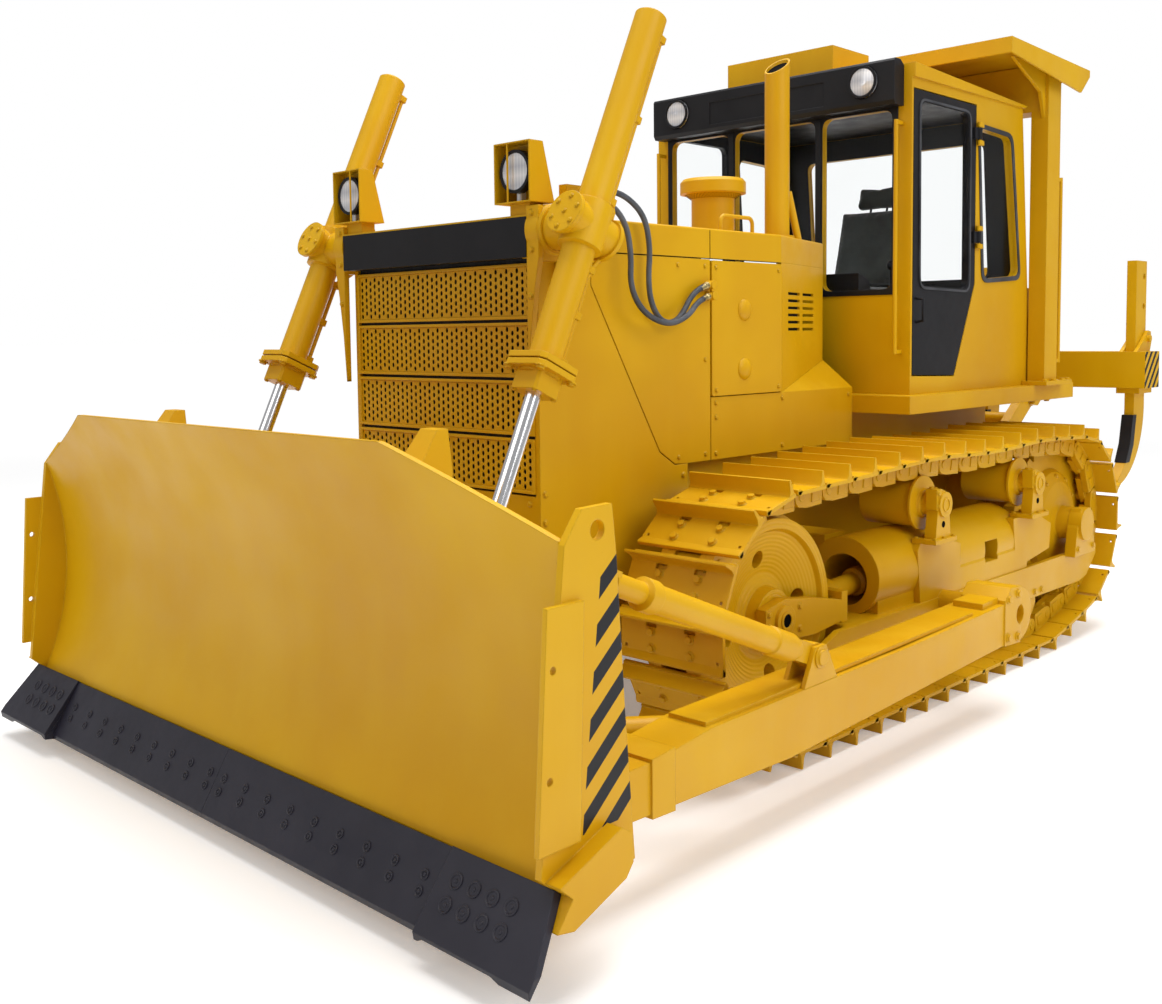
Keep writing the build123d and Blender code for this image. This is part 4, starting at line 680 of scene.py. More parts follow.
def sheet_pattern():
    """Perforated sheet: staggered cells, each a small plate around a round hole, and blank half cells."""
    pattern = Pattern("perforated_sheet",
                      {"Column": "Length", "Row": "Length", "Hole": "Length", "Thickness": "Length"})
    width, height = pattern.start["Column"], pattern.start["Row"]
    border = pattern.node("GeometryNodeCurvePrimitiveQuadrilateral", {"Width": width, "Height": height})
    hole = pattern.node("GeometryNodeCurvePrimitiveCircle",
                        {"Resolution": 12, "Radius": pattern.start["Hole"]})
    oval = pattern.node("GeometryNodeTransform", {"Geometry": hole.outputs[0], "Scale": (1.0, 1.35, 1.0)})
    cell = pattern.node("GeometryNodeFillCurve", {"Curve": pattern.joined(border, oval)})
    blank = pattern.node("GeometryNodeMeshGrid", {"Size X": width, "Size Y": pattern.halved(height),
                                                  "Vertices X": 2, "Vertices Y": 2})
    plain = pattern.attribute("plain", "FLOAT")
    holed = pattern.node("ShaderNodeMath", operation="SUBTRACT")
    holed.inputs[0].default_value = 1.0
    pattern.tree.links.new(plain, holed.inputs[1])
    copies = [pattern.node("GeometryNodeInstanceOnPoints", {
        "Points": pattern.start["Geometry"], "Selection": chosen, "Instance": part.outputs[0],
        "Rotation": (math.pi / 2, 0.0, 0.0)}) for part, chosen in ((cell, holed.outputs[0]), (blank, plain))]
    real = pattern.node("GeometryNodeRealizeInstances", {"Geometry": pattern.joined(*copies)})
    welded = pattern.node("GeometryNodeMergeByDistance", {"Geometry": real.outputs[0], "Distance": 0.0002})
    thick = pattern.node("GeometryNodeExtrudeMesh", {"Mesh": welded.outputs[0], "Individual": False,
                                                     "Offset Scale": pattern.start["Thickness"]})
    back = pattern.node("GeometryNodeFlipFaces", {"Mesh": welded.outputs[0]})
    closed = pattern.node("GeometryNodeMergeByDistance",
                          {"Geometry": pattern.joined(thick, back), "Distance": 0.0002})
    pattern.close(closed.outputs[0])
    return pattern


def ring_pattern():
    """Raised rings along a hose's own line."""
    pattern = Pattern("hose_rings", {"Step": "Length", "Radius": "Length", "Width": "Length"})
    line = pattern.node("GeometryNodeMeshToCurve", {"Mesh": pattern.start["Geometry"]})
    points = pattern.node("GeometryNodeCurveToPoints",
                          {"Curve": line.outputs[0], "Length": pattern.start["Step"]}, mode="LENGTH")
    facing = pattern.node("FunctionNodeAlignRotationToVector",
                          {"Vector": points.outputs["Tangent"]}, axis="Z")
    ring = pattern.node("GeometryNodeMeshCylinder", {"Vertices": 14, "Radius": pattern.start["Radius"],
                                                     "Depth": pattern.start["Width"]})
    copies = pattern.node("GeometryNodeInstanceOnPoints", {
        "Points": points.outputs["Points"], "Instance": ring.outputs["Mesh"], "Rotation": facing.outputs[0]})
    pattern.close(copies.outputs[0])
    return pattern


# ---- stage ---------------------------------------------------------------------------------------
CAMERA_PLACE = Vector((3.8475, -5.1490, 1.7558))
CAMERA_TURN = dict(azimuth=43.946, down=4.137, roll=-0.617)
CAMERA_LENS, CAMERA_SHIFT = 37.47, -0.0689


def set_camera():
    azimuth, down = math.radians(CAMERA_TURN["azimuth"]), math.radians(CAMERA_TURN["down"])
    back = Vector((math.sin(azimuth) * math.cos(down), -math.cos(azimuth) * math.cos(down), math.sin(down)))
    right = Vector((0, 0, 1)).cross(back).normalized()
    up = back.cross(right)
    roll = Matrix.Rotation(math.radians(CAMERA_TURN["roll"]), 3, "Z")
    turn = Matrix((right, up, back)).transposed() @ roll
    data = bpy.data.cameras.new("camera")
    data.sensor_width = 36.0
    data.lens = CAMERA_LENS
    data.shift_y = CAMERA_SHIFT
    camera = linked("camera", data)
    camera.matrix_world = Matrix.Translation(CAMERA_PLACE) @ turn.to_4x4()
    bpy.context.scene.camera = camera


def add_light(name, place, target, size, power, colour=(1.0, 1.0, 1.0)):
    data = bpy.data.lights.new(name, "AREA")
    data.shape = "RECTANGLE"
    data.size, data.size_y = size
    data.energy = power
    data.color = colour
    light = linked(name, data)
    light.location = place
    light.rotation_euler = (Vector(target) - Vector(place)).to_track_quat("-Z", "Y").to_euler()


def build_stage(brightness):
    """Wide pale floor, soft lights, pale surroundings and the camera."""
    bm = bmesh.new()
    bmesh.ops.create_circle(bm, cap_ends=True, segments=64, radius=FLOOR_RADIUS)
    mesh = bpy.data.meshes.new("studio_floor")
    bm.to_mesh(mesh)
    bm.free()
    mesh.materials.append(finish_named("floor"))
    linked("studio_floor", mesh)
    world = bpy.data.worlds.new("studio")
    world.use_nodes = True
    light = world.node_tree.nodes["Background"]
    seen = world.node_tree.nodes.new("ShaderNodeBackground")
    light.inputs["Strength"].default_value = brightness
    for background in (light, seen):
        background.inputs["Color"].default_value = rgb(1.0, 1.0, 1.0)
    mix = world.node_tree.nodes.new("ShaderNodeMixShader")
    for source, target in ((straight_ray(world.node_tree), mix.inputs[0]), (light.outputs[0], mix.inputs[1]),
                           (seen.outputs[0], mix.inputs[2]),
                           (mix.outputs[0], world.node_tree.nodes["World Output"].inputs["Surface"])):
        world.node_tree.links.new(source, target)
    bpy.context.scene.world = world
    add_light("key_light", (-2.0, -12.0, 9.0), (0.0, -0.5, 1.0), (9.0, 7.0), 345.0, (1.0, 0.97, 0.93))
    add_light("side_light", (11.0, -1.0, 8.0), (0.0, 0.0, 1.2), (9.0, 7.0), 610.0)
    add_light("top_light", (0.0, 1.0, 12.0), (0.0, 0.0, 0.0), (10.0, 12.0), 2000.0)
    set_camera()


# ---- cords ---------------------------------------------------------------------------------------
LOWER_HOSE = [(0.622, -0.580, 2.254), (0.630, -0.464, 2.276), (0.648, -0.376, 2.196), (0.662, -0.362, 2.065),
              (0.668, -0.378, 1.940), (0.668, -0.300, 1.838), (0.662, -0.140, 1.788), (0.648, 0.010, 1.825),
              (0.628, 0.105, 1.895), (0.610, 0.190, 1.912)]
UPPER_HOSE = [(0.614, -0.570, 2.292), (0.616, -0.455, 2.318), (0.620, -0.342, 2.302), (0.626, -0.236, 2.228),
              (0.630, -0.210, 2.098), (0.628, -0.222, 1.978), (0.622, -0.198, 1.875), (0.616, -0.122, 1.798),
              (0.614, -0.008, 1.806), (0.608, 0.100, 1.942), (0.604, 0.190, 1.960)]


RING_SHARE, RING_RISE = 0.55, 0.0012        # width of a hose's ring in one step, and its height
FERRULE = [(0.0, 0.0132), (0.03, 0.0138), (0.034, 0.0165), (0.05, 0.0165), (0.052, 0.0105), (0.058, 0.0105)]


def hose_line(name, route):
    """A hose's smooth line: a curve without thickness."""
    curve = bpy.data.curves.new(name, "CURVE")
    curve.dimensions = "3D"
    spline = curve.splines.new("NURBS")
    spline.points.add(len(route) - 1)
    for point, place in zip(spline.points, route):
        point.co = (*at(*place), 1.0)
    spline.order_u = 3
    spline.use_endpoint_u = True
    spline.resolution_u = 12
    return linked(name, curve)


def make_hose(name, route, node, diameter, step):
    """One hydraulic hose: rubber core, wound rings and plated ends."""
    hose = hose_line(name, route)
    bare = modified_mesh(hose)
    places = [vertex.co.copy() for vertex in bare.vertices]
    rings = ring_pattern().grow(name + "_rings", bare, "hose", Step=step, Radius=diameter / 2,
                                Width=step * RING_SHARE)
    winding = placed(name + "_rings", rings, "hose", "tractor", 40.0)
    hose.data.bevel_depth = diameter / 2 - RING_RISE
    hose.data.bevel_resolution = 4
    hose.data.use_fill_caps = True
    hose.data.materials.append(finish_named("hose"))
    ends = bmesh.new()
    for end, inner in ((places[0], places[6]), (places[-1], places[-7])):
        axis = (end - inner).normalized()
        add_turned(ends, end - axis * 0.045, axis, FERRULE, 14)
    ferrules = finished(name + "_ferrules", ends, "brass", "tractor")
    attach(hose, "tractor")
    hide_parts(node)


# ---- track links ---------------------------------------------------------------------------------
TRACK_X = 0.940
LINKS = 42
IDLER_WHEEL = (0.050, 0.600, 0.470)          # station, height and radius of its pin circle
DRIVE_WHEEL = (2.900, 0.655, 0.4414)
GROUND_PINS = [(0.180, 0.123), (2.520, 0.123)]
TOP_PINS = [(2.420, 1.116), (2.260, 1.117), (2.100, 1.110), (1.740, 1.098), (1.380, 1.110), (1.220, 1.117),
            (1.060, 1.114)]
SHOE = dict(half=0.250, low=0.045, high=0.061, tip=0.123)
RAIL_SPAN = (0.062, 0.128)


def touch_angle(wheel, point, turn):
    """Angle on a wheel where a straight run from a point meets its pin circle."""
    station, height, radius = wheel
    dy, dz = point[0] - station, point[1] - height
    return math.atan2(dz, dy) + turn * math.acos(radius / math.hypot(dy, dz))


def wheel_arc(wheel, start, end, steps=60):
    """Points on a wheel's pin circle between two angles."""
    station, height, radius = wheel
    angles = [start + (end - start) * i / steps for i in range(steps + 1)]
    return [(station + radius * math.cos(a), height + radius * math.sin(a)) for a in angles]


def chain_pins():
    """The pins of the left chain as (station, height), at one equal step, and that step."""
    ring = list(GROUND_PINS)
    ring += wheel_arc(DRIVE_WHEEL, touch_angle(DRIVE_WHEEL, GROUND_PINS[1], 1),
                      touch_angle(DRIVE_WHEEL, TOP_PINS[0], -1))
    ring += TOP_PINS
    ring += wheel_arc(IDLER_WHEEL, touch_angle(IDLER_WHEEL, TOP_PINS[-1], 1),
                      touch_angle(IDLER_WHEEL, GROUND_PINS[0], -1) + 2 * math.pi)
    ring.append(ring[0])
    reach = [0.0]
    for a, b in zip(ring, ring[1:]):
        reach.append(reach[-1] + math.dist(a, b))
    pins = []
    for k in range(LINKS):
        want = (reach[-1] * (k + 0.28) / LINKS) % reach[-1]
        i = next(i for i in range(len(ring) - 1) if reach[i + 1] >= want)
        share = (want - reach[i]) / (reach[i + 1] - reach[i])
        pins.append(tuple(ring[i][axis] + share * (ring[i + 1][axis] - ring[i][axis]) for axis in (0, 1)))
    return pins, reach[-1] / LINKS


def along_link(x, t, out):
    """A point of a link: across, along from its first pin, and outwards from the pin line."""
    return Vector((x, t, -out))


def link_mesh(pitch):
    """One link: shoe with windows and grouser, four bolts, two rails of offset halves, pin and bushing."""
    bm = bmesh.new()
    half, low, high = SHOE["half"], SHOE["low"], SHOE["high"]
    xs = [-half, -0.231, -0.219, -0.122, -0.068, 0.068, 0.122, 0.219, 0.231, half]
    ts = [0.002, 0.044, 0.066, 0.150, 0.162, pitch - 0.004]
    add_plate(bm, xs, ts, [(3, 1), (5, 1), (1, 3), (7, 3)], along_link, low, high)
    add_prism(bm, [(0.008, high - 0.001), (0.014, 0.078), (0.019, SHOE["tip"]), (0.029, SHOE["tip"]),
                        (0.034, 0.078), (0.046, high - 0.001)], -half, half, along_link)
    add_prism(bm, [(pitch - 0.034, high - 0.001), (pitch - 0.012, 0.069), (pitch - 0.001, 0.068),
                        (pitch - 0.001, 0.050), (pitch - 0.010, low + 0.002), (pitch - 0.020, low + 0.002)],
              -half, half, along_link)
    turns = [math.radians(a) for a in range(-80, -261, -36)]
    boss = [(0.046 * math.cos(a), 0.046 * math.sin(a)) for a in turns]
    first = [(0.155, low + 0.001), (0.150, -0.050), (0.030, -0.050)] + boss + [(0.020, low + 0.001)]
    second = [(pitch - t, out) for t, out in first]
    middle, reach = sum(RAIL_SPAN) / 2, RAIL_SPAN[1] + 0.004
    for side in (-1, 1):
        add_prism(bm, first, side * RAIL_SPAN[0], side * (middle + 0.001), along_link)
        add_prism(bm, second, side * (middle - 0.001), side * RAIL_SPAN[1], along_link)
        add_prism(bm, [(0.070, -0.030), (0.135, -0.030), (0.125, 0.020), (0.080, 0.020)],
                       side * (RAIL_SPAN[1] - 0.001), side * reach, along_link)
        for t in (0.085, 0.150):
            spot = along_link(side * 0.095, t, high)
            add_turned(bm, spot, Vector((0, 0, -1)), [(-0.001, 0.019), (0.003, 0.019)], 10)
            add_turned(bm, spot, Vector((0, 0, -1)), [(0.002, 0.0155), (0.014, 0.0155)], 6)
    for end, radius in ((RAIL_SPAN[0], 0.031), (reach, 0.019)):
        add_turned(bm, Vector((-end, 0, 0)), Vector((1, 0, 0)), [(0.0, radius), (2 * end, radius)], 12)
    return closed_mesh("track_link", bm)


def make_tracks():
    """Both chains, each a ring of links."""
    pins, pitch = chain_pins()
    link = linked("track_link", link_mesh(pitch))
    turns = [(math.atan2(b[1] - a[1], b[0] - a[0]), 0.0, 0.0) for a, b in zip(pins, pins[1:] + pins[:1])]
    chain = chain_pattern()
    for name, x in (("track_left", TRACK_X), ("track_right", -TRACK_X)):
        seed = points_mesh(name + "_pins", [at(x, *pin) for pin in pins], turn=turns)
        grown = chain.grow(name + "_chain", seed, "track", Link=link)
        piece = placed(name + "_chain", grown, "track", "tractor")
        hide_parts(name)
    bpy.data.objects.remove(link)


# ---- grille --------------------------------------------------------------------------------------
GRILLE_ROWS = [(1.150, 1.360), (1.372, 1.582), (1.594, 1.804), (1.816, 2.026)]
GRILLE_HALF = 0.5528
GRILLE_RIM, GRILLE_EDGE = 0.014, 0.012          # widths of a rim, upright and level
GRILLE_FACE = -0.796          # station of the perforated sheet's front
HOLE_COLUMNS, HOLE_ROWS = 36, 6


def make_grille(hole_radius, thickness):
    """Four perforated panels in folded rims, and the dark core behind them."""
    column = 2 * (GRILLE_HALF - GRILLE_RIM) / HOLE_COLUMNS
    row = (GRILLE_ROWS[0][1] - GRILLE_ROWS[0][0] - 2 * GRILLE_EDGE) / (HOLE_ROWS + 0.5)
    places, plain = [], []
    for low, high in GRILLE_ROWS:
        for i in range(HOLE_COLUMNS):
            x = -GRILLE_HALF + GRILLE_RIM + column * (i + 0.5)
            start = low + GRILLE_EDGE + (row / 2 if i % 2 else 0.0)
            places += [at(x, GRILLE_FACE + thickness, start + row * (j + 0.5)) for j in range(HOLE_ROWS)]
            blank = low + GRILLE_EDGE + (0.25 if i % 2 else HOLE_ROWS + 0.25) * row
            places.append(at(x, GRILLE_FACE + thickness, blank))
            plain += [0.0] * HOLE_ROWS + [1.0]
    cells = points_mesh("grille_cells", places, plain=plain)
    sheet = sheet_pattern().grow("grille_sheet", cells, "paint", Column=column, Row=row, Hole=hole_radius,
                                 Thickness=thickness)
    panels = placed("grille_sheet", sheet, "paint", "tractor", 40.0)
    rims = bmesh.new()
    xs = [-GRILLE_HALF, GRILLE_RIM - GRILLE_HALF, GRILLE_HALF - GRILLE_RIM, GRILLE_HALF]
    for low, high in GRILLE_ROWS:
        add_plate(rims, xs, [low, low + GRILLE_EDGE, high - GRILLE_EDGE, high], [(1, 1)],
                  lambda x, z, y: at(x, y, z), GRILLE_FACE - 0.007, GRILLE_FACE + 0.010)
    finished("grille_rims", rims, "paint", "tractor")
    core = bmesh.new()
    add_box(core, (-GRILLE_HALF, GRILLE_HALF), (-0.781, -0.760), (1.141, 2.049))
    block = finished("radiator_core", core, "core", "tractor")
    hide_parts("grille_panels")


# ---- fasteners -----------------------------------------------------------------------------------
AHEAD, ASIDE, UP, DOWN = Vector((0, -1, 0)), Vector((1, 0, 0)), Vector((0, 0, 1)), Vector((0, 0, -1))
LIFT_X, LIFT_PIVOT, LIFT_EYE = 0.800, (-0.765, 2.145), (-1.408, 0.740)
ARM_SIDE = 1.506
BRACE_X, BRACE_HALF = 1.450, 0.0482
BRACE_EYES = [(-0.297, 0.590), (-1.470, 1.068)]
BLADE_FOOT, EDGE_TIP, BIT_TIP = (-1.784, 0.284), (-1.914, 0.073), (-1.952, 0.080)
PANEL_SIDE = 0.577            # outer face of the side panels
CARRIERS = [(1.220, 0.948), (2.260, 0.948)]       # axles of the carrier rollers
ROLLERS = [0.540, 0.915, 1.290, 1.665, 2.040, 2.415]


def lift_axis():
    """Directions along the lift cylinder towards the blade, and square to it, forward and up."""
    dy, dz = LIFT_EYE[0] - LIFT_PIVOT[0], LIFT_EYE[1] - LIFT_PIVOT[1]
    length = math.hypot(dy, dz)
    return Vector((0, dy, dz)) / length, Vector((0, dz, -dy)) / length


def bit_face(tip, thickness):
    """Upper edge of a bit's front face as (station, height), and the directions down it and out of it."""
    run = Vector((0, tip[0] - BLADE_FOOT[0], tip[1] - BLADE_FOOT[1]))
    out = Vector((0, run.z, -run.y)).normalized()
    top = Vector((0, *BLADE_FOOT)) + out * thickness
    low = Vector((0, *tip)) + out * 0.7 * thickness - run * 0.06
    down = (low - top).normalized()
    return (top.y, top.z), down, Vector((0, down.z, -down.y))


def tractor_heads():
    """Hexagon heads on the tractor's left half: (point, facing, size)."""
    heads = []

    def add(facing, size, *places):
        heads.extend((at(*place), facing, size) for place in places)

    add(ASIDE, 0.0085, *[(0.583, y, z) for y in (0.285, 0.760) for z in (1.505, 2.042)])
    add(ASIDE, 0.0085, *[(PANEL_SIDE, y, z) for y, z in (
        (-0.455, 2.045), (0.030, 2.045), (0.215, 2.045), (0.215, 1.640), (0.030, 1.228), (0.215, 1.228))])
    add(ASIDE, 0.0095, *[(PANEL_SIDE, y, z) for y, z in (
        (0.290, 1.448), (0.290, 1.385), (0.290, 1.225), (0.800, 1.448), (0.800, 1.225), (1.385, 1.440))])
    add(ASIDE, 0.011, *[(PANEL_SIDE, y, z) for y in (-0.770, 0.060) for z in (0.760, 0.900, 1.040, 1.150)])
    add(AHEAD, 0.010, *[(x, -0.795, z) for x in (0.180, 0.520) for z in (0.740, 1.110)])
    add(AHEAD, 0.010, (0.604, -0.850, 2.205), (0.604, -0.850, 2.070), (0.598, -0.850, 1.900))
    add(UP, 0.016, *[(0.950, y, 1.459) for y in (2.885, 3.005, 3.125, 3.200)])
    add(DOWN, 0.016, *[(0.870, y, 1.345) for y in (2.900, 3.100)])
    for station, height in CARRIERS:
        add(ASIDE, 0.012, *[(TRACK_X + 0.245, station - 0.045, height + rise) for rise in (0.058, -0.002)])
        add(UP, 0.012, *[(TRACK_X + 0.206, station - back, height + rise)
                         for back, rise in ((0.040, 0.076), (0.004, 0.070))])
        add(UP, 0.010, *[(TRACK_X + x, station + y, 0.792) for x in (0.155, 0.252)
                         for y in (-0.085, 0.0, 0.092)])
    add(ASIDE, 0.012, *[(TRACK_X + 0.160, y, z) for y, z in (
        (-0.050, 0.640), (-0.050, 0.588), (0.165, 0.640), (0.165, 0.548))])
    hub = at(TRACK_X + 0.078, *DRIVE_WHEEL[:2])
    heads += [(spot, ASIDE, 0.011) for spot in circle(hub, ASIDE, 0.258, 12)]
    add(ASIDE, 0.014, *[(TRACK_X + 0.245, y, z) for y, z in (
        (2.815, 0.520), (3.025, 0.520), (2.860, 0.710), (2.975, 0.705))])
    add(ASIDE, 0.014, *[(TRACK_X + 0.190, station + y, 0.345)
                        for station in ROLLERS for y in (-0.042, 0.042)])
    return heads


def lift_heads():
    """Heads on the left lift cylinder: bearing cap, and nuts under the gland's plate and block."""
    down, out = lift_axis()
    pivot = at(LIFT_X, *LIFT_PIVOT)
    cap = pivot + out * 0.122
    heads = [(spot, out, 0.0085) for spot in (*circle(cap, out, 0.060, 6, 0.3), cap)]
    for distance, reach, size in ((0.579, 0.080, 0.0155), (0.655, 0.050, 0.0085)):
        heads += [(pivot + down * distance + ASIDE * x + out * n, down, size)
                  for x in (-reach, reach) for n in (-reach, reach)]
    return heads


def blade_heads():
    """Heads on the trunnion cap of the left push arm."""
    return [(at(ARM_SIDE, y, z), ASIDE, 0.017)
            for y, z in ((1.222, 0.372), (1.222, 0.548), (1.318, 0.362), (1.318, 0.560))]


HEADS = {"tractor": ("tractor_bolts", tractor_heads), "lift_cylinders": ("gland_nuts", lift_heads),
         "blade": ("arm_cap_bolts", blade_heads)}


def make_fasteners(rise, washer):
    """Hexagon heads of every body, on both sides of the machine."""
    pattern = head_pattern()
    for body, (name, listed) in HEADS.items():
        heads = listed()
        heads += [(Vector((-p.x, p.y, p.z)), Vector((-f.x, f.y, f.z)), size) for p, f, size in heads]
        points, facings, sizes = zip(*heads)
        seed = points_mesh(name + "_seed", points, facing=facings, size=sizes)
        grown = pattern.grow(name, seed, "paint", Sides=6, Rise=rise, Washer=washer)
        placed(name, grown, "paint", body)


def make_edge_bolts():
    """Sunk bolts along the cutting edges and in the recesses of the end bits."""
    bm = bmesh.new()
    bits = [(EDGE_TIP, 0.020, 0.0150, [(0.048 + 0.140 * k, d) for k in range(9) for d in (0.098, 0.146)]),
            (BIT_TIP, 0.026, 0.0230, [(1.312 + 0.0755 * k, d) for k in range(4) for d in (0.082, 0.150)])]
    for tip, thickness, radius, spots in bits:
        top, down, out = bit_face(tip, thickness)
        dish = [(-0.001, radius + 0.002), (0.0035, radius + 0.001), (0.0035, radius - 0.0035),
                (0.0005, radius - 0.005), (0.0005, 0.006), (0.003, 0.005), (0.003, 0.0)]
        for x, distance in spots:
            for side in (-1, 1):
                add_turned(bm, at(side * x, *top) + down * distance, out, dish, 14)
    finished("edge_bolts", bm, "edge", "blade")


# ---- cab -----------------------------------------------------------------------------------------
CAB_SIDE, CAB_FRONT = 0.820, 1.563
GASKET, GASKET_SIDE = 0.006, CAB_SIDE + 0.0035
FRONT_LIGHTS = [(-0.715, -0.305), (-0.262, 0.262), (0.305, 0.715)]
LIGHT_HEIGHT = (1.968, 2.862)
FRONT_TRIM = dict(half=0.745, low=1.940, high=2.872)
SIDE_WINDOW = [(2.296, 2.842), (2.675, 2.828), (2.800, 2.065), (2.358, 2.035)]
DOOR_WINDOW = [(1.652, 2.900), (1.662, 1.985), (2.180, 1.975), (2.175, 2.900)]
CORNER = 0.050
SHEET = 0.004                 # thickness of the plate around the front windows
LINING = 0.001


def rounded(outline, radius, steps=4):
    """An outline with its corners rounded."""
    points = []
    for before, corner, after in zip(outline[-1:] + outline[:-1], outline, outline[1:] + outline[:1]):
        corner = Vector(corner)
        start = corner + (Vector(before) - corner).normalized() * radius
        end = corner + (Vector(after) - corner).normalized() * radius
        for i in range(steps + 1):
            share = i / steps
            points.append(start.lerp(corner, share).lerp(corner.lerp(end, share), share))
    return points


def grown(outline, gap):
    """An outline moved away from its middle by a gap on both axes."""
    middle = sum((Vector(point) for point in outline), Vector((0, 0))) / len(outline)
    return [(u + math.copysign(gap, u - middle.x), v + math.copysign(gap, v - middle.y)) for u, v in outline]


def add_sheet(bm, outline, holes, thickness, place):
    """A flat sheet with openings; place(u, v, level) puts its points."""
    curve = bpy.data.curves.new("sheet", "CURVE")
    curve.dimensions = "2D"
    curve.fill_mode = "BOTH"
    curve.extrude = thickness / 2
    for loop in (outline, *holes):
        spline = curve.splines.new("POLY")
        spline.points.add(len(loop) - 1)
        for point, (u, v) in zip(spline.points, loop):
            point.co = (u, v, 0.0, 1.0)
        spline.use_cyclic_u = True
    carrier = linked("sheet", curve)
    mesh = modified_mesh(carrier)
    bpy.data.objects.remove(carrier)
    for vertex in mesh.vertices:
        vertex.co = place(*vertex.co)
    bm.from_mesh(mesh)
    bmesh.ops.remove_doubles(bm, verts=bm.verts, dist=0.00005)


def cab_lining(lights):
    """Dark lining of the cab: roof, front, rear and sides, open at the windows and doors."""
    bm = bmesh.new()
    add_box(bm, (-0.774, 0.774), (1.605, 2.786), (2.967, 2.969))
    front = rectangle((-0.774, 0.774), (1.700, 2.966))
    add_sheet(bm, front, lights, LINING, lambda x, z, level: at(x, 1.6042 + level, z))
    rear = rounded(rectangle((-0.600, 0.600), (2.060, 2.840)), CORNER)
    add_sheet(bm, rectangle((-0.773, 0.773), (1.480, 2.965)), [rear], LINING,
              lambda x, z, level: at(x, 2.931 - (z - 1.476) * 0.0991 + level, z))
    wall = [(1.606, 1.700), (1.606, 2.965), (2.782, 2.965), (2.928, 1.480), (2.030, 1.480), (2.030, 1.700)]
    door = [(1.640, 1.920), (1.640, 2.940), (2.250, 2.940), (2.250, 1.920)]
    for side in (-1, 1):
        add_sheet(bm, wall, [door, rounded(SIDE_WINDOW, CORNER)], LINING,
                  lambda y, z, level: at(side * 0.7742 + level, y, z))
    return bm


def make_cab_trim():
    """Dark plate around the front windows, gaskets of the side windows and the doors, and door handles."""
    front = bmesh.new()
    half = FRONT_TRIM["half"]
    lights = [rounded(rectangle(x, LIGHT_HEIGHT), CORNER) for x in FRONT_LIGHTS]
    add_sheet(front, rectangle((-half, half), (FRONT_TRIM["low"], FRONT_TRIM["high"])), lights, SHEET,
              lambda x, z, level: at(x, CAB_FRONT - SHEET / 2 - 0.0002 - level, z))
    for x in (-0.2835, 0.2835):
        add_box(front, (x - 0.016, x + 0.016), (CAB_FRONT - 0.012, CAB_FRONT - SHEET), LIGHT_HEIGHT)
    finished("front_window_trim", front, "black", "tractor")
    finished("cab_lining", cab_lining(lights), "black", "tractor")
    gaskets = bmesh.new()
    rim = rounded(grown(SIDE_WINDOW, 0.024), CORNER + 0.02)
    for side in (-1, 1):
        add_sheet(gaskets, rim, [rounded(SIDE_WINDOW, CORNER)], GASKET,
                  lambda y, z, level: at(side * GASKET_SIDE + level, y, z))
    finished("side_window_gaskets", gaskets, "rubber", "tractor")
    for side, body in ((1, "left_door"), (-1, "right_door")):
        seal = bmesh.new()
        add_sheet(seal, rounded(grown(DOOR_WINDOW, 0.018), CORNER + 0.015),
                  [rounded(grown(DOOR_WINDOW, -0.006), CORNER)], GASKET,
                  lambda y, z, level: at(side * GASKET_SIDE + level, y, z))
        finished(body + "_gasket", seal, "rubber", body)
        handle = bmesh.new()
        route = [(CAB_SIDE - 0.002, 1.800), (0.858, 1.806), (0.858, 1.914), (CAB_SIDE - 0.002, 1.920)]
        add_tube(handle, [at(side * x, 1.622, z) for x, z in route], 0.008)
        finished(body + "_handle", handle, "black", body)


# ---- operator's seat -----------------------------------------------------------------------------
SEAT_PADS = {
    "seat_cushion": ([(2.052, 1.892), (2.548, 1.892), (2.548, 1.996), (2.052, 2.004)], 0.238),
    "seat_back": ([(2.482, 2.016), (2.592, 2.008), (2.686, 2.482), (2.612, 2.496)], 0.230),
    "seat_head_rest": ([(2.634, 2.506), (2.700, 2.492), (2.722, 2.624), (2.668, 2.634)], 0.134),
}
PAD_VOXEL, PAD_CORNER = 0.008, 0.028
PAD_STEPS = 20                # frames of the simulation
PAD_SWELL = 0.014             # how far a point of a pad may move


def make_pad(name, outline, half, pressure):
    """One padded cushion: a rounded block, remeshed, blown up as cloth and smoothed."""
    bm = bmesh.new()
    add_prism(bm, rounded(outline, PAD_CORNER), -half, half)
    block = linked(name + "_block", closed_mesh(name, bm))
    voxels = block.modifiers.new("voxels", "REMESH")
    voxels.mode = "VOXEL"
    voxels.voxel_size = PAD_VOXEL
    pad = modified_mesh(block)
    block.modifiers.clear()
    block.data = pad
    cloth = block.modifiers.new("cloth", "CLOTH")
    cloth.settings.use_pressure = True
    cloth.settings.uniform_pressure_force = pressure
    cloth.settings.effector_weights.gravity = 0.0
    for step in range(1, PAD_STEPS + 1):
        bpy.context.scene.frame_set(step)
    swollen = modified_mesh(block)
    for still, moved in zip(pad.vertices, swollen.vertices):
        shift = moved.co - still.co
        still.co += shift * min(1.0, PAD_SWELL / max(shift.length, 1e-9))
    block.modifiers.clear()
    bpy.context.scene.frame_set(1)
    bpy.data.objects.remove(block)
    piece = placed(name, pad, "cloth", "tractor", 60.0)
    smooth = piece.modifiers.new("smooth", "SUBSURF")
    smooth.levels = smooth.render_levels = 1
    return piece


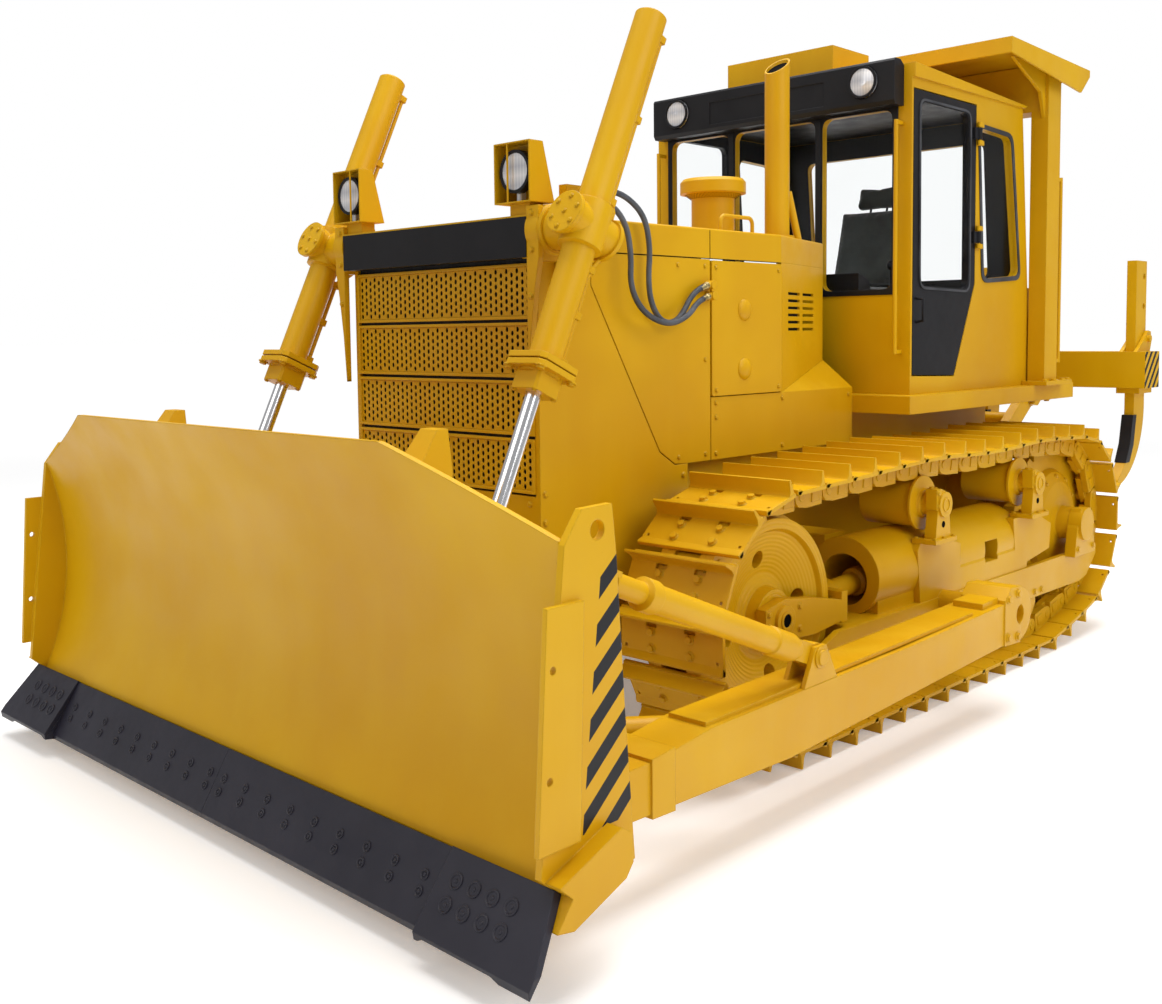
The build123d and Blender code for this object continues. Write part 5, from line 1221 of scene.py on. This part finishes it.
def make_seat(pressure):
    """Pads of the operator's seat on a dark pedestal."""
    pads = [make_pad(name, *shape, pressure) for name, shape in SEAT_PADS.items()]
    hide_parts("operator_seat")
    bm = bmesh.new()
    add_box(bm, (-0.165, 0.165), (2.140, 2.470), (1.477, 1.860))
    add_box(bm, (-0.225, 0.225), (2.070, 2.540), (1.860, 1.882))
    add_prism(bm, [(2.600, 1.900), (2.614, 1.900), (2.712, 2.460), (2.698, 2.464)], -0.200, 0.200)
    for x in (-0.055, 0.055):
        add_tube(bm, [at(x, 2.650, 2.440), at(x, 2.684, 2.560)], 0.007)
    finished("seat_pedestal", bm, "black", "tractor")


# ---- small dark parts and trim -------------------------------------------------------------------
STACK = (0.408, 1.000)
HOOD_TOP = 2.210
CLEANER = (0.170, 0.800)
CLEANER_ROWS, CLEANER_HOLES = 4, 44
HEAD_LAMP = (0.522, -0.852, 2.362)
VISOR_LAMP = (0.600, 1.455, 3.000)
SHANK_X = [-0.985, 0.0, 0.985]


def make_exhaust_mouth():
    """Dark inside of the exhaust pipe below its slanted mouth, closed flat at the mouth: soot, with painted
    shade of its depth.
    """
    bm = bmesh.new()
    add_turned(bm, at(*STACK, 2.930), UP, [(0.0, 0.0517), (0.30, 0.0517)], 32)
    cut = bmesh.ops.bisect_plane(bm, geom=bm.verts[:] + bm.edges[:] + bm.faces[:], clear_outer=True,
                                 plane_co=at(*STACK, 3.024), plane_no=(0.0, -0.6, 0.8))
    rim = [edge for edge in cut["geom_cut"] if isinstance(edge, bmesh.types.BMEdge)]
    # the flat dark cap at the mouth is painted shade of the open pipe
    bmesh.ops.contextual_create(bm, geom=rim)
    finished("exhaust_bore", bm, "soot_and_shade", "tractor")


def make_cleaner_holes():
    """Rows of small air holes under the cap of the pre-cleaner, as flat dark hexagons of painted shade."""
    points, facings = [], []
    for row in range(CLEANER_ROWS):
        rise = 0.200 + 0.0055 * row
        radius = 0.105 + 0.035 * (rise - 0.196) / 0.026 + 0.0004
        for k in range(CLEANER_HOLES):
            angle = 2 * math.pi * (k + 0.5 * (row % 2)) / CLEANER_HOLES
            outward = Vector((math.cos(angle), math.sin(angle), 0.0))
            points.append(at(*CLEANER, HOOD_TOP + rise) + outward * radius)
            facings.append(outward * 0.6 - UP * 0.8)
    seed = points_mesh("cleaner_hole_seed", points, facing=facings, size=[0.0036] * len(points))
    # painted shade: flat dark hexagons where the air holes are
    holes = head_pattern().grow("cleaner_holes", seed, "soot_and_shade", Sides=6, Rise=0.25, Washer=0.9)
    placed("cleaner_holes", holes, "soot_and_shade", "tractor")


def make_lamp_rims():
    """Black rims around the head lamps and the visor's lamps."""
    bm = bmesh.new()
    for side in (-1, 1):
        x, station, height = HEAD_LAMP
        add_washer(bm, at(side * x, station, height), AHEAD, -0.030, 0.004, 0.0685, 0.0805)
        add_turned(bm, at(side * x, station + 0.030, height), -AHEAD,
                   [(0.0, 0.079), (0.034, 0.037), (0.034, 0.0)], 28)
        x, station, height = VISOR_LAMP
        add_washer(bm, at(side * x, station, height), AHEAD, -0.008, 0.003, 0.069, 0.080)
    finished("lamp_rims", bm, "black", "tractor")


def make_dark_openings():
    """Painted shade in the frames' cut-outs and the yokes' and posts' holes, and dark insides of the hood's
    seams.
    """
    bm = bmesh.new()
    for side in (-1, 1):
        # painted shade: a thin dark plate in the frame's cut-out, dark discs in the idler yoke's hole and the
        # carrier posts' holes
        cutout_shade_span = sorted((side * (TRACK_X + 0.1085), side * (TRACK_X + 0.1115)))
        add_box(bm, cutout_shade_span, (1.796, 1.934), (0.600, 0.689))
        add_turned(bm, at(side * (TRACK_X + 0.1755), *IDLER_WHEEL[:2]), ASIDE * side,
                   [(0.0, 0.027), (0.0015, 0.027)])
        for station, height in CARRIERS:
            add_turned(bm, at(side * (TRACK_X + 0.2445), station + 0.004, height - 0.092), ASIDE * side,
                       [(0.0, 0.0155), (0.0015, 0.0155)])
        # dark lines of the hood's seams
        seam = sorted((side * 0.5765, side * 0.5777))
        add_box(bm, seam, (0.248, 0.252), (2.080, 2.202))
        add_box(bm, seam, (-0.506, 0.790), (2.0775, 2.0805))
    finished("dark_openings", bm, "soot_and_shade", "tractor")
    rings = bmesh.new()
    for side in (-1, 1):
        add_washer(rings, at(side * (TRACK_X + 0.176), *IDLER_WHEEL[:2]), ASIDE * side, -0.001, 0.005,
                   0.028, 0.040)
        for station, height in CARRIERS:
            add_washer(rings, at(side * (TRACK_X + 0.257), station + 0.008, height), ASIDE * side,
                       -0.001, 0.004, 0.026, 0.034)
        for height in (1.593, 1.858):
            add_turned(rings, at(side * 0.5825, 0.495, height), ASIDE * side,
                       [(0.0, 0.050), (0.006, 0.046), (0.012, 0.034), (0.016, 0.018), (0.017, 0.0)], 28)
    finished("covers_and_rings", rings, "paint", "tractor")


def make_lift_pipes():
    """Steel pipes that lead round the bearing at the back of both lift cylinders."""
    bm = bmesh.new()
    down, out = lift_axis()
    for side in (-1, 1):
        pivot = at(side * LIFT_X, *LIFT_PIVOT)
        route = [(-0.150, 0.084), (-0.112, 0.110), (0.070, 0.116), (0.128, 0.084)]
        add_tube(bm, [pivot + down * distance - out * reach for distance, reach in route], 0.009, 12)
    finished("lift_pipes", bm, "paint", "lift_cylinders")


def make_blade_details():
    """Pins of the braces with their washers, and the webs between the cutting edge and the end bits."""
    pins = bmesh.new()
    for station, height in BRACE_EYES:
        for side in (-1, 1):
            for turn in (1, -1):
                face = at(side * (BRACE_X + turn * BRACE_HALF), station, height)
                add_turned(pins, face, ASIDE * side * turn,
                           [(-0.001, 0.040), (0.006, 0.040), (0.006, 0.030), (0.014, 0.028), (0.014, 0.0)])
    finished("brace_pins", pins, "paint", "blade")
    webs = bmesh.new()
    for side in (-1, 1):
        add_prism(webs, [BLADE_FOOT, BIT_TIP, (BIT_TIP[0] + 0.030, BIT_TIP[1] - 0.004), EDGE_TIP],
                  *sorted((side * 1.2385, side * 1.2475)))
    finished("bit_webs", webs, "edge", "blade")


def make_shank_guards():
    """Dark wear guards in front of the ripper's shanks."""
    bm = bmesh.new()
    outline = [(4.086, 1.200), (4.044, 1.020), (3.975, 0.900), (4.040, 0.900), (4.104, 1.005), (4.146, 1.200)]
    for x in SHANK_X:
        add_prism(bm, outline, x - 0.036, x + 0.036)
    finished("shank_guards", bm, "black", "ripper")


# ---- paint ---------------------------------------------------------------------------------------
PAINTED = {
    "paint": ("main_frame", "radiator_guard", "hood", "side_panels", "fenders", "exhaust_stack",
              "air_precleaner", "cab_shell", "rops_canopy", "handrails", "fuel_tank", "track_frames",
              "sprockets", "track_rollers", "carrier_rollers", "push_arms", "blade_braces", "lift_barrels",
              "ripper_barrels", "ripper_arms", "ripper_links", "ripper_shanks"),
    "blade": ("moldboard",), "beam": ("ripper_beam",), "idler": ("idlers",),
    "track": ("track_left", "track_right"),
    "black": ("front_band", "cab_visor", "door_left", "door_right", "controls"),
    "edge": ("cutting_edges", "end_bits"), "engine": ("engine_block",),
    "chrome": ("lift_rods", "ripper_rods"), "core": ("grille_panels",),
    "glass": ("cab_windows", "door_left_glass", "door_right_glass"), "lens": ("lamps",),
    "cloth": ("operator_seat",),
}


def paint_solids():
    """Gives every solid of the frame its finish."""
    for finish, nodes in PAINTED.items():
        for node in nodes:
            materials = frame["nodes"][node].data.materials
            materials.clear()
            materials.append(finish_named(finish))


# ---- operators -----------------------------------------------------------------------------------
class StageSettings(bpy.types.PropertyGroup):
    brightness: bpy.props.FloatProperty(name="Surroundings", description="Strength of the pale surroundings",
                                        default=0.38, min=0.0)


class HoseSettings(bpy.types.PropertyGroup):
    diameter: bpy.props.FloatProperty(name="Diameter", description="Outer diameter of a hose",
                                      default=0.024, unit="LENGTH")
    step: bpy.props.FloatProperty(name="Ring step", description="Distance from ring to ring",
                                  default=0.0065, unit="LENGTH")


class GrilleSettings(bpy.types.PropertyGroup):
    hole_radius: bpy.props.FloatProperty(name="Hole radius", description="Half the width of a grille hole",
                                         default=0.0075, unit="LENGTH")
    thickness: bpy.props.FloatProperty(name="Sheet", description="Thickness of the grille's sheet",
                                       default=0.003, unit="LENGTH")


class HeadSettings(bpy.types.PropertyGroup):
    rise: bpy.props.FloatProperty(name="Head height", default=0.75, min=0.1,
                                  description="Height of a head, as a share of its radius")
    washer: bpy.props.FloatProperty(name="Washer", description="Radius of a washer, as a share of the head's",
                                    default=1.35, min=1.0)


class SeatSettings(bpy.types.PropertyGroup):
    pressure: bpy.props.FloatProperty(name="Pressure", description="Air pressure that swells the seat's pads",
                                      default=4.0, min=0.0)


class DOZER_OT_stage(bpy.types.Operator):
    """Make the studio floor, the lights and the camera"""
    bl_idname = "dozer.stage"
    bl_label = "Stage"

    def execute(self, context):
        build_stage(context.scene.dozer_stage.brightness)
        return {"FINISHED"}


class DOZER_OT_hoses(bpy.types.Operator):
    """Lay the two hydraulic hoses behind the lift cylinder"""
    bl_idname = "dozer.hoses"
    bl_label = "Hoses"

    def execute(self, context):
        settings = context.scene.dozer_hoses
        make_hose("lower_lift_hose", LOWER_HOSE, "lower_hose", settings.diameter, settings.step)
        make_hose("upper_lift_hose", UPPER_HOSE, "upper_hose", settings.diameter, settings.step)
        return {"FINISHED"}


class DOZER_OT_tracks(bpy.types.Operator):
    """Make the links of both tracks"""
    bl_idname = "dozer.tracks"
    bl_label = "Tracks"

    def execute(self, context):
        make_tracks()
        return {"FINISHED"}


class DOZER_OT_grille(bpy.types.Operator):
    """Make the perforated grille panels"""
    bl_idname = "dozer.grille"
    bl_label = "Grille"

    def execute(self, context):
        settings = context.scene.dozer_grille
        make_grille(settings.hole_radius, settings.thickness)
        return {"FINISHED"}


class DOZER_OT_fasteners(bpy.types.Operator):
    """Set the hexagon heads of every body and the bolts of the cutting edges"""
    bl_idname = "dozer.fasteners"
    bl_label = "Fasteners"

    def execute(self, context):
        settings = context.scene.dozer_heads
        make_fasteners(settings.rise, settings.washer)
        make_edge_bolts()
        return {"FINISHED"}


class DOZER_OT_cab_trim(bpy.types.Operator):
    """Set the trim, gaskets and handles of the cab"""
    bl_idname = "dozer.cab_trim"
    bl_label = "Cab trim"

    def execute(self, context):
        make_cab_trim()
        return {"FINISHED"}


class DOZER_OT_seat(bpy.types.Operator):
    """Blow up the pads of the operator's seat"""
    bl_idname = "dozer.seat"
    bl_label = "Seat"

    def execute(self, context):
        make_seat(context.scene.dozer_seat.pressure)
        return {"FINISHED"}


class DOZER_OT_details(bpy.types.Operator):
    """Make the lamps' rims, the dark openings, the pipes, pins, webs and guards"""
    bl_idname = "dozer.details"
    bl_label = "Details"

    def execute(self, context):
        for make in (make_exhaust_mouth, make_cleaner_holes, make_lamp_rims, make_dark_openings,
                     make_lift_pipes, make_blade_details, make_shank_guards):
            make()
        return {"FINISHED"}


class DOZER_OT_paint(bpy.types.Operator):
    """Paint the machine's solids"""
    bl_idname = "dozer.paint"
    bl_label = "Paint"

    def execute(self, context):
        paint_solids()
        return {"FINISHED"}


OPERATORS = [DOZER_OT_stage, DOZER_OT_hoses, DOZER_OT_paint, DOZER_OT_tracks, DOZER_OT_grille,
             DOZER_OT_fasteners, DOZER_OT_cab_trim, DOZER_OT_seat, DOZER_OT_details]
SETTINGS = {"dozer_stage": StageSettings, "dozer_hoses": HoseSettings, "dozer_grille": GrilleSettings,
            "dozer_heads": HeadSettings, "dozer_seat": SeatSettings}


class DOZER_PT_pieces(bpy.types.Panel):
    """The machine's pieces and their sizes"""
    bl_idname = "DOZER_PT_pieces"
    bl_label = "Bulldozer"
    bl_space_type = "VIEW_3D"
    bl_region_type = "UI"
    bl_category = "Bulldozer"

    def draw(self, context):
        for group, kind in SETTINGS.items():
            column = self.layout.column(align=True)
            for label in kind.__annotations__:
                column.prop(getattr(context.scene, group), label)
        for operator in OPERATORS:
            self.layout.operator(operator.bl_idname)


def register():
    for kind in (*SETTINGS.values(), *OPERATORS, DOZER_PT_pieces):
        bpy.utils.register_class(kind)
    for group, kind in SETTINGS.items():
        setattr(bpy.types.Scene, group, bpy.props.PointerProperty(type=kind))


def unregister():
    for group in SETTINGS:
        delattr(bpy.types.Scene, group)
    for kind in (DOZER_PT_pieces, *reversed(OPERATORS), *SETTINGS.values()):
        bpy.utils.unregister_class(kind)


def main():
    register()
    for operator in OPERATORS:
        getattr(bpy.ops.dozer, operator.bl_idname.split(".")[1])()
    bpy.context.scene.view_settings.view_transform = "Standard"


if __name__ == "__main__":
    main()
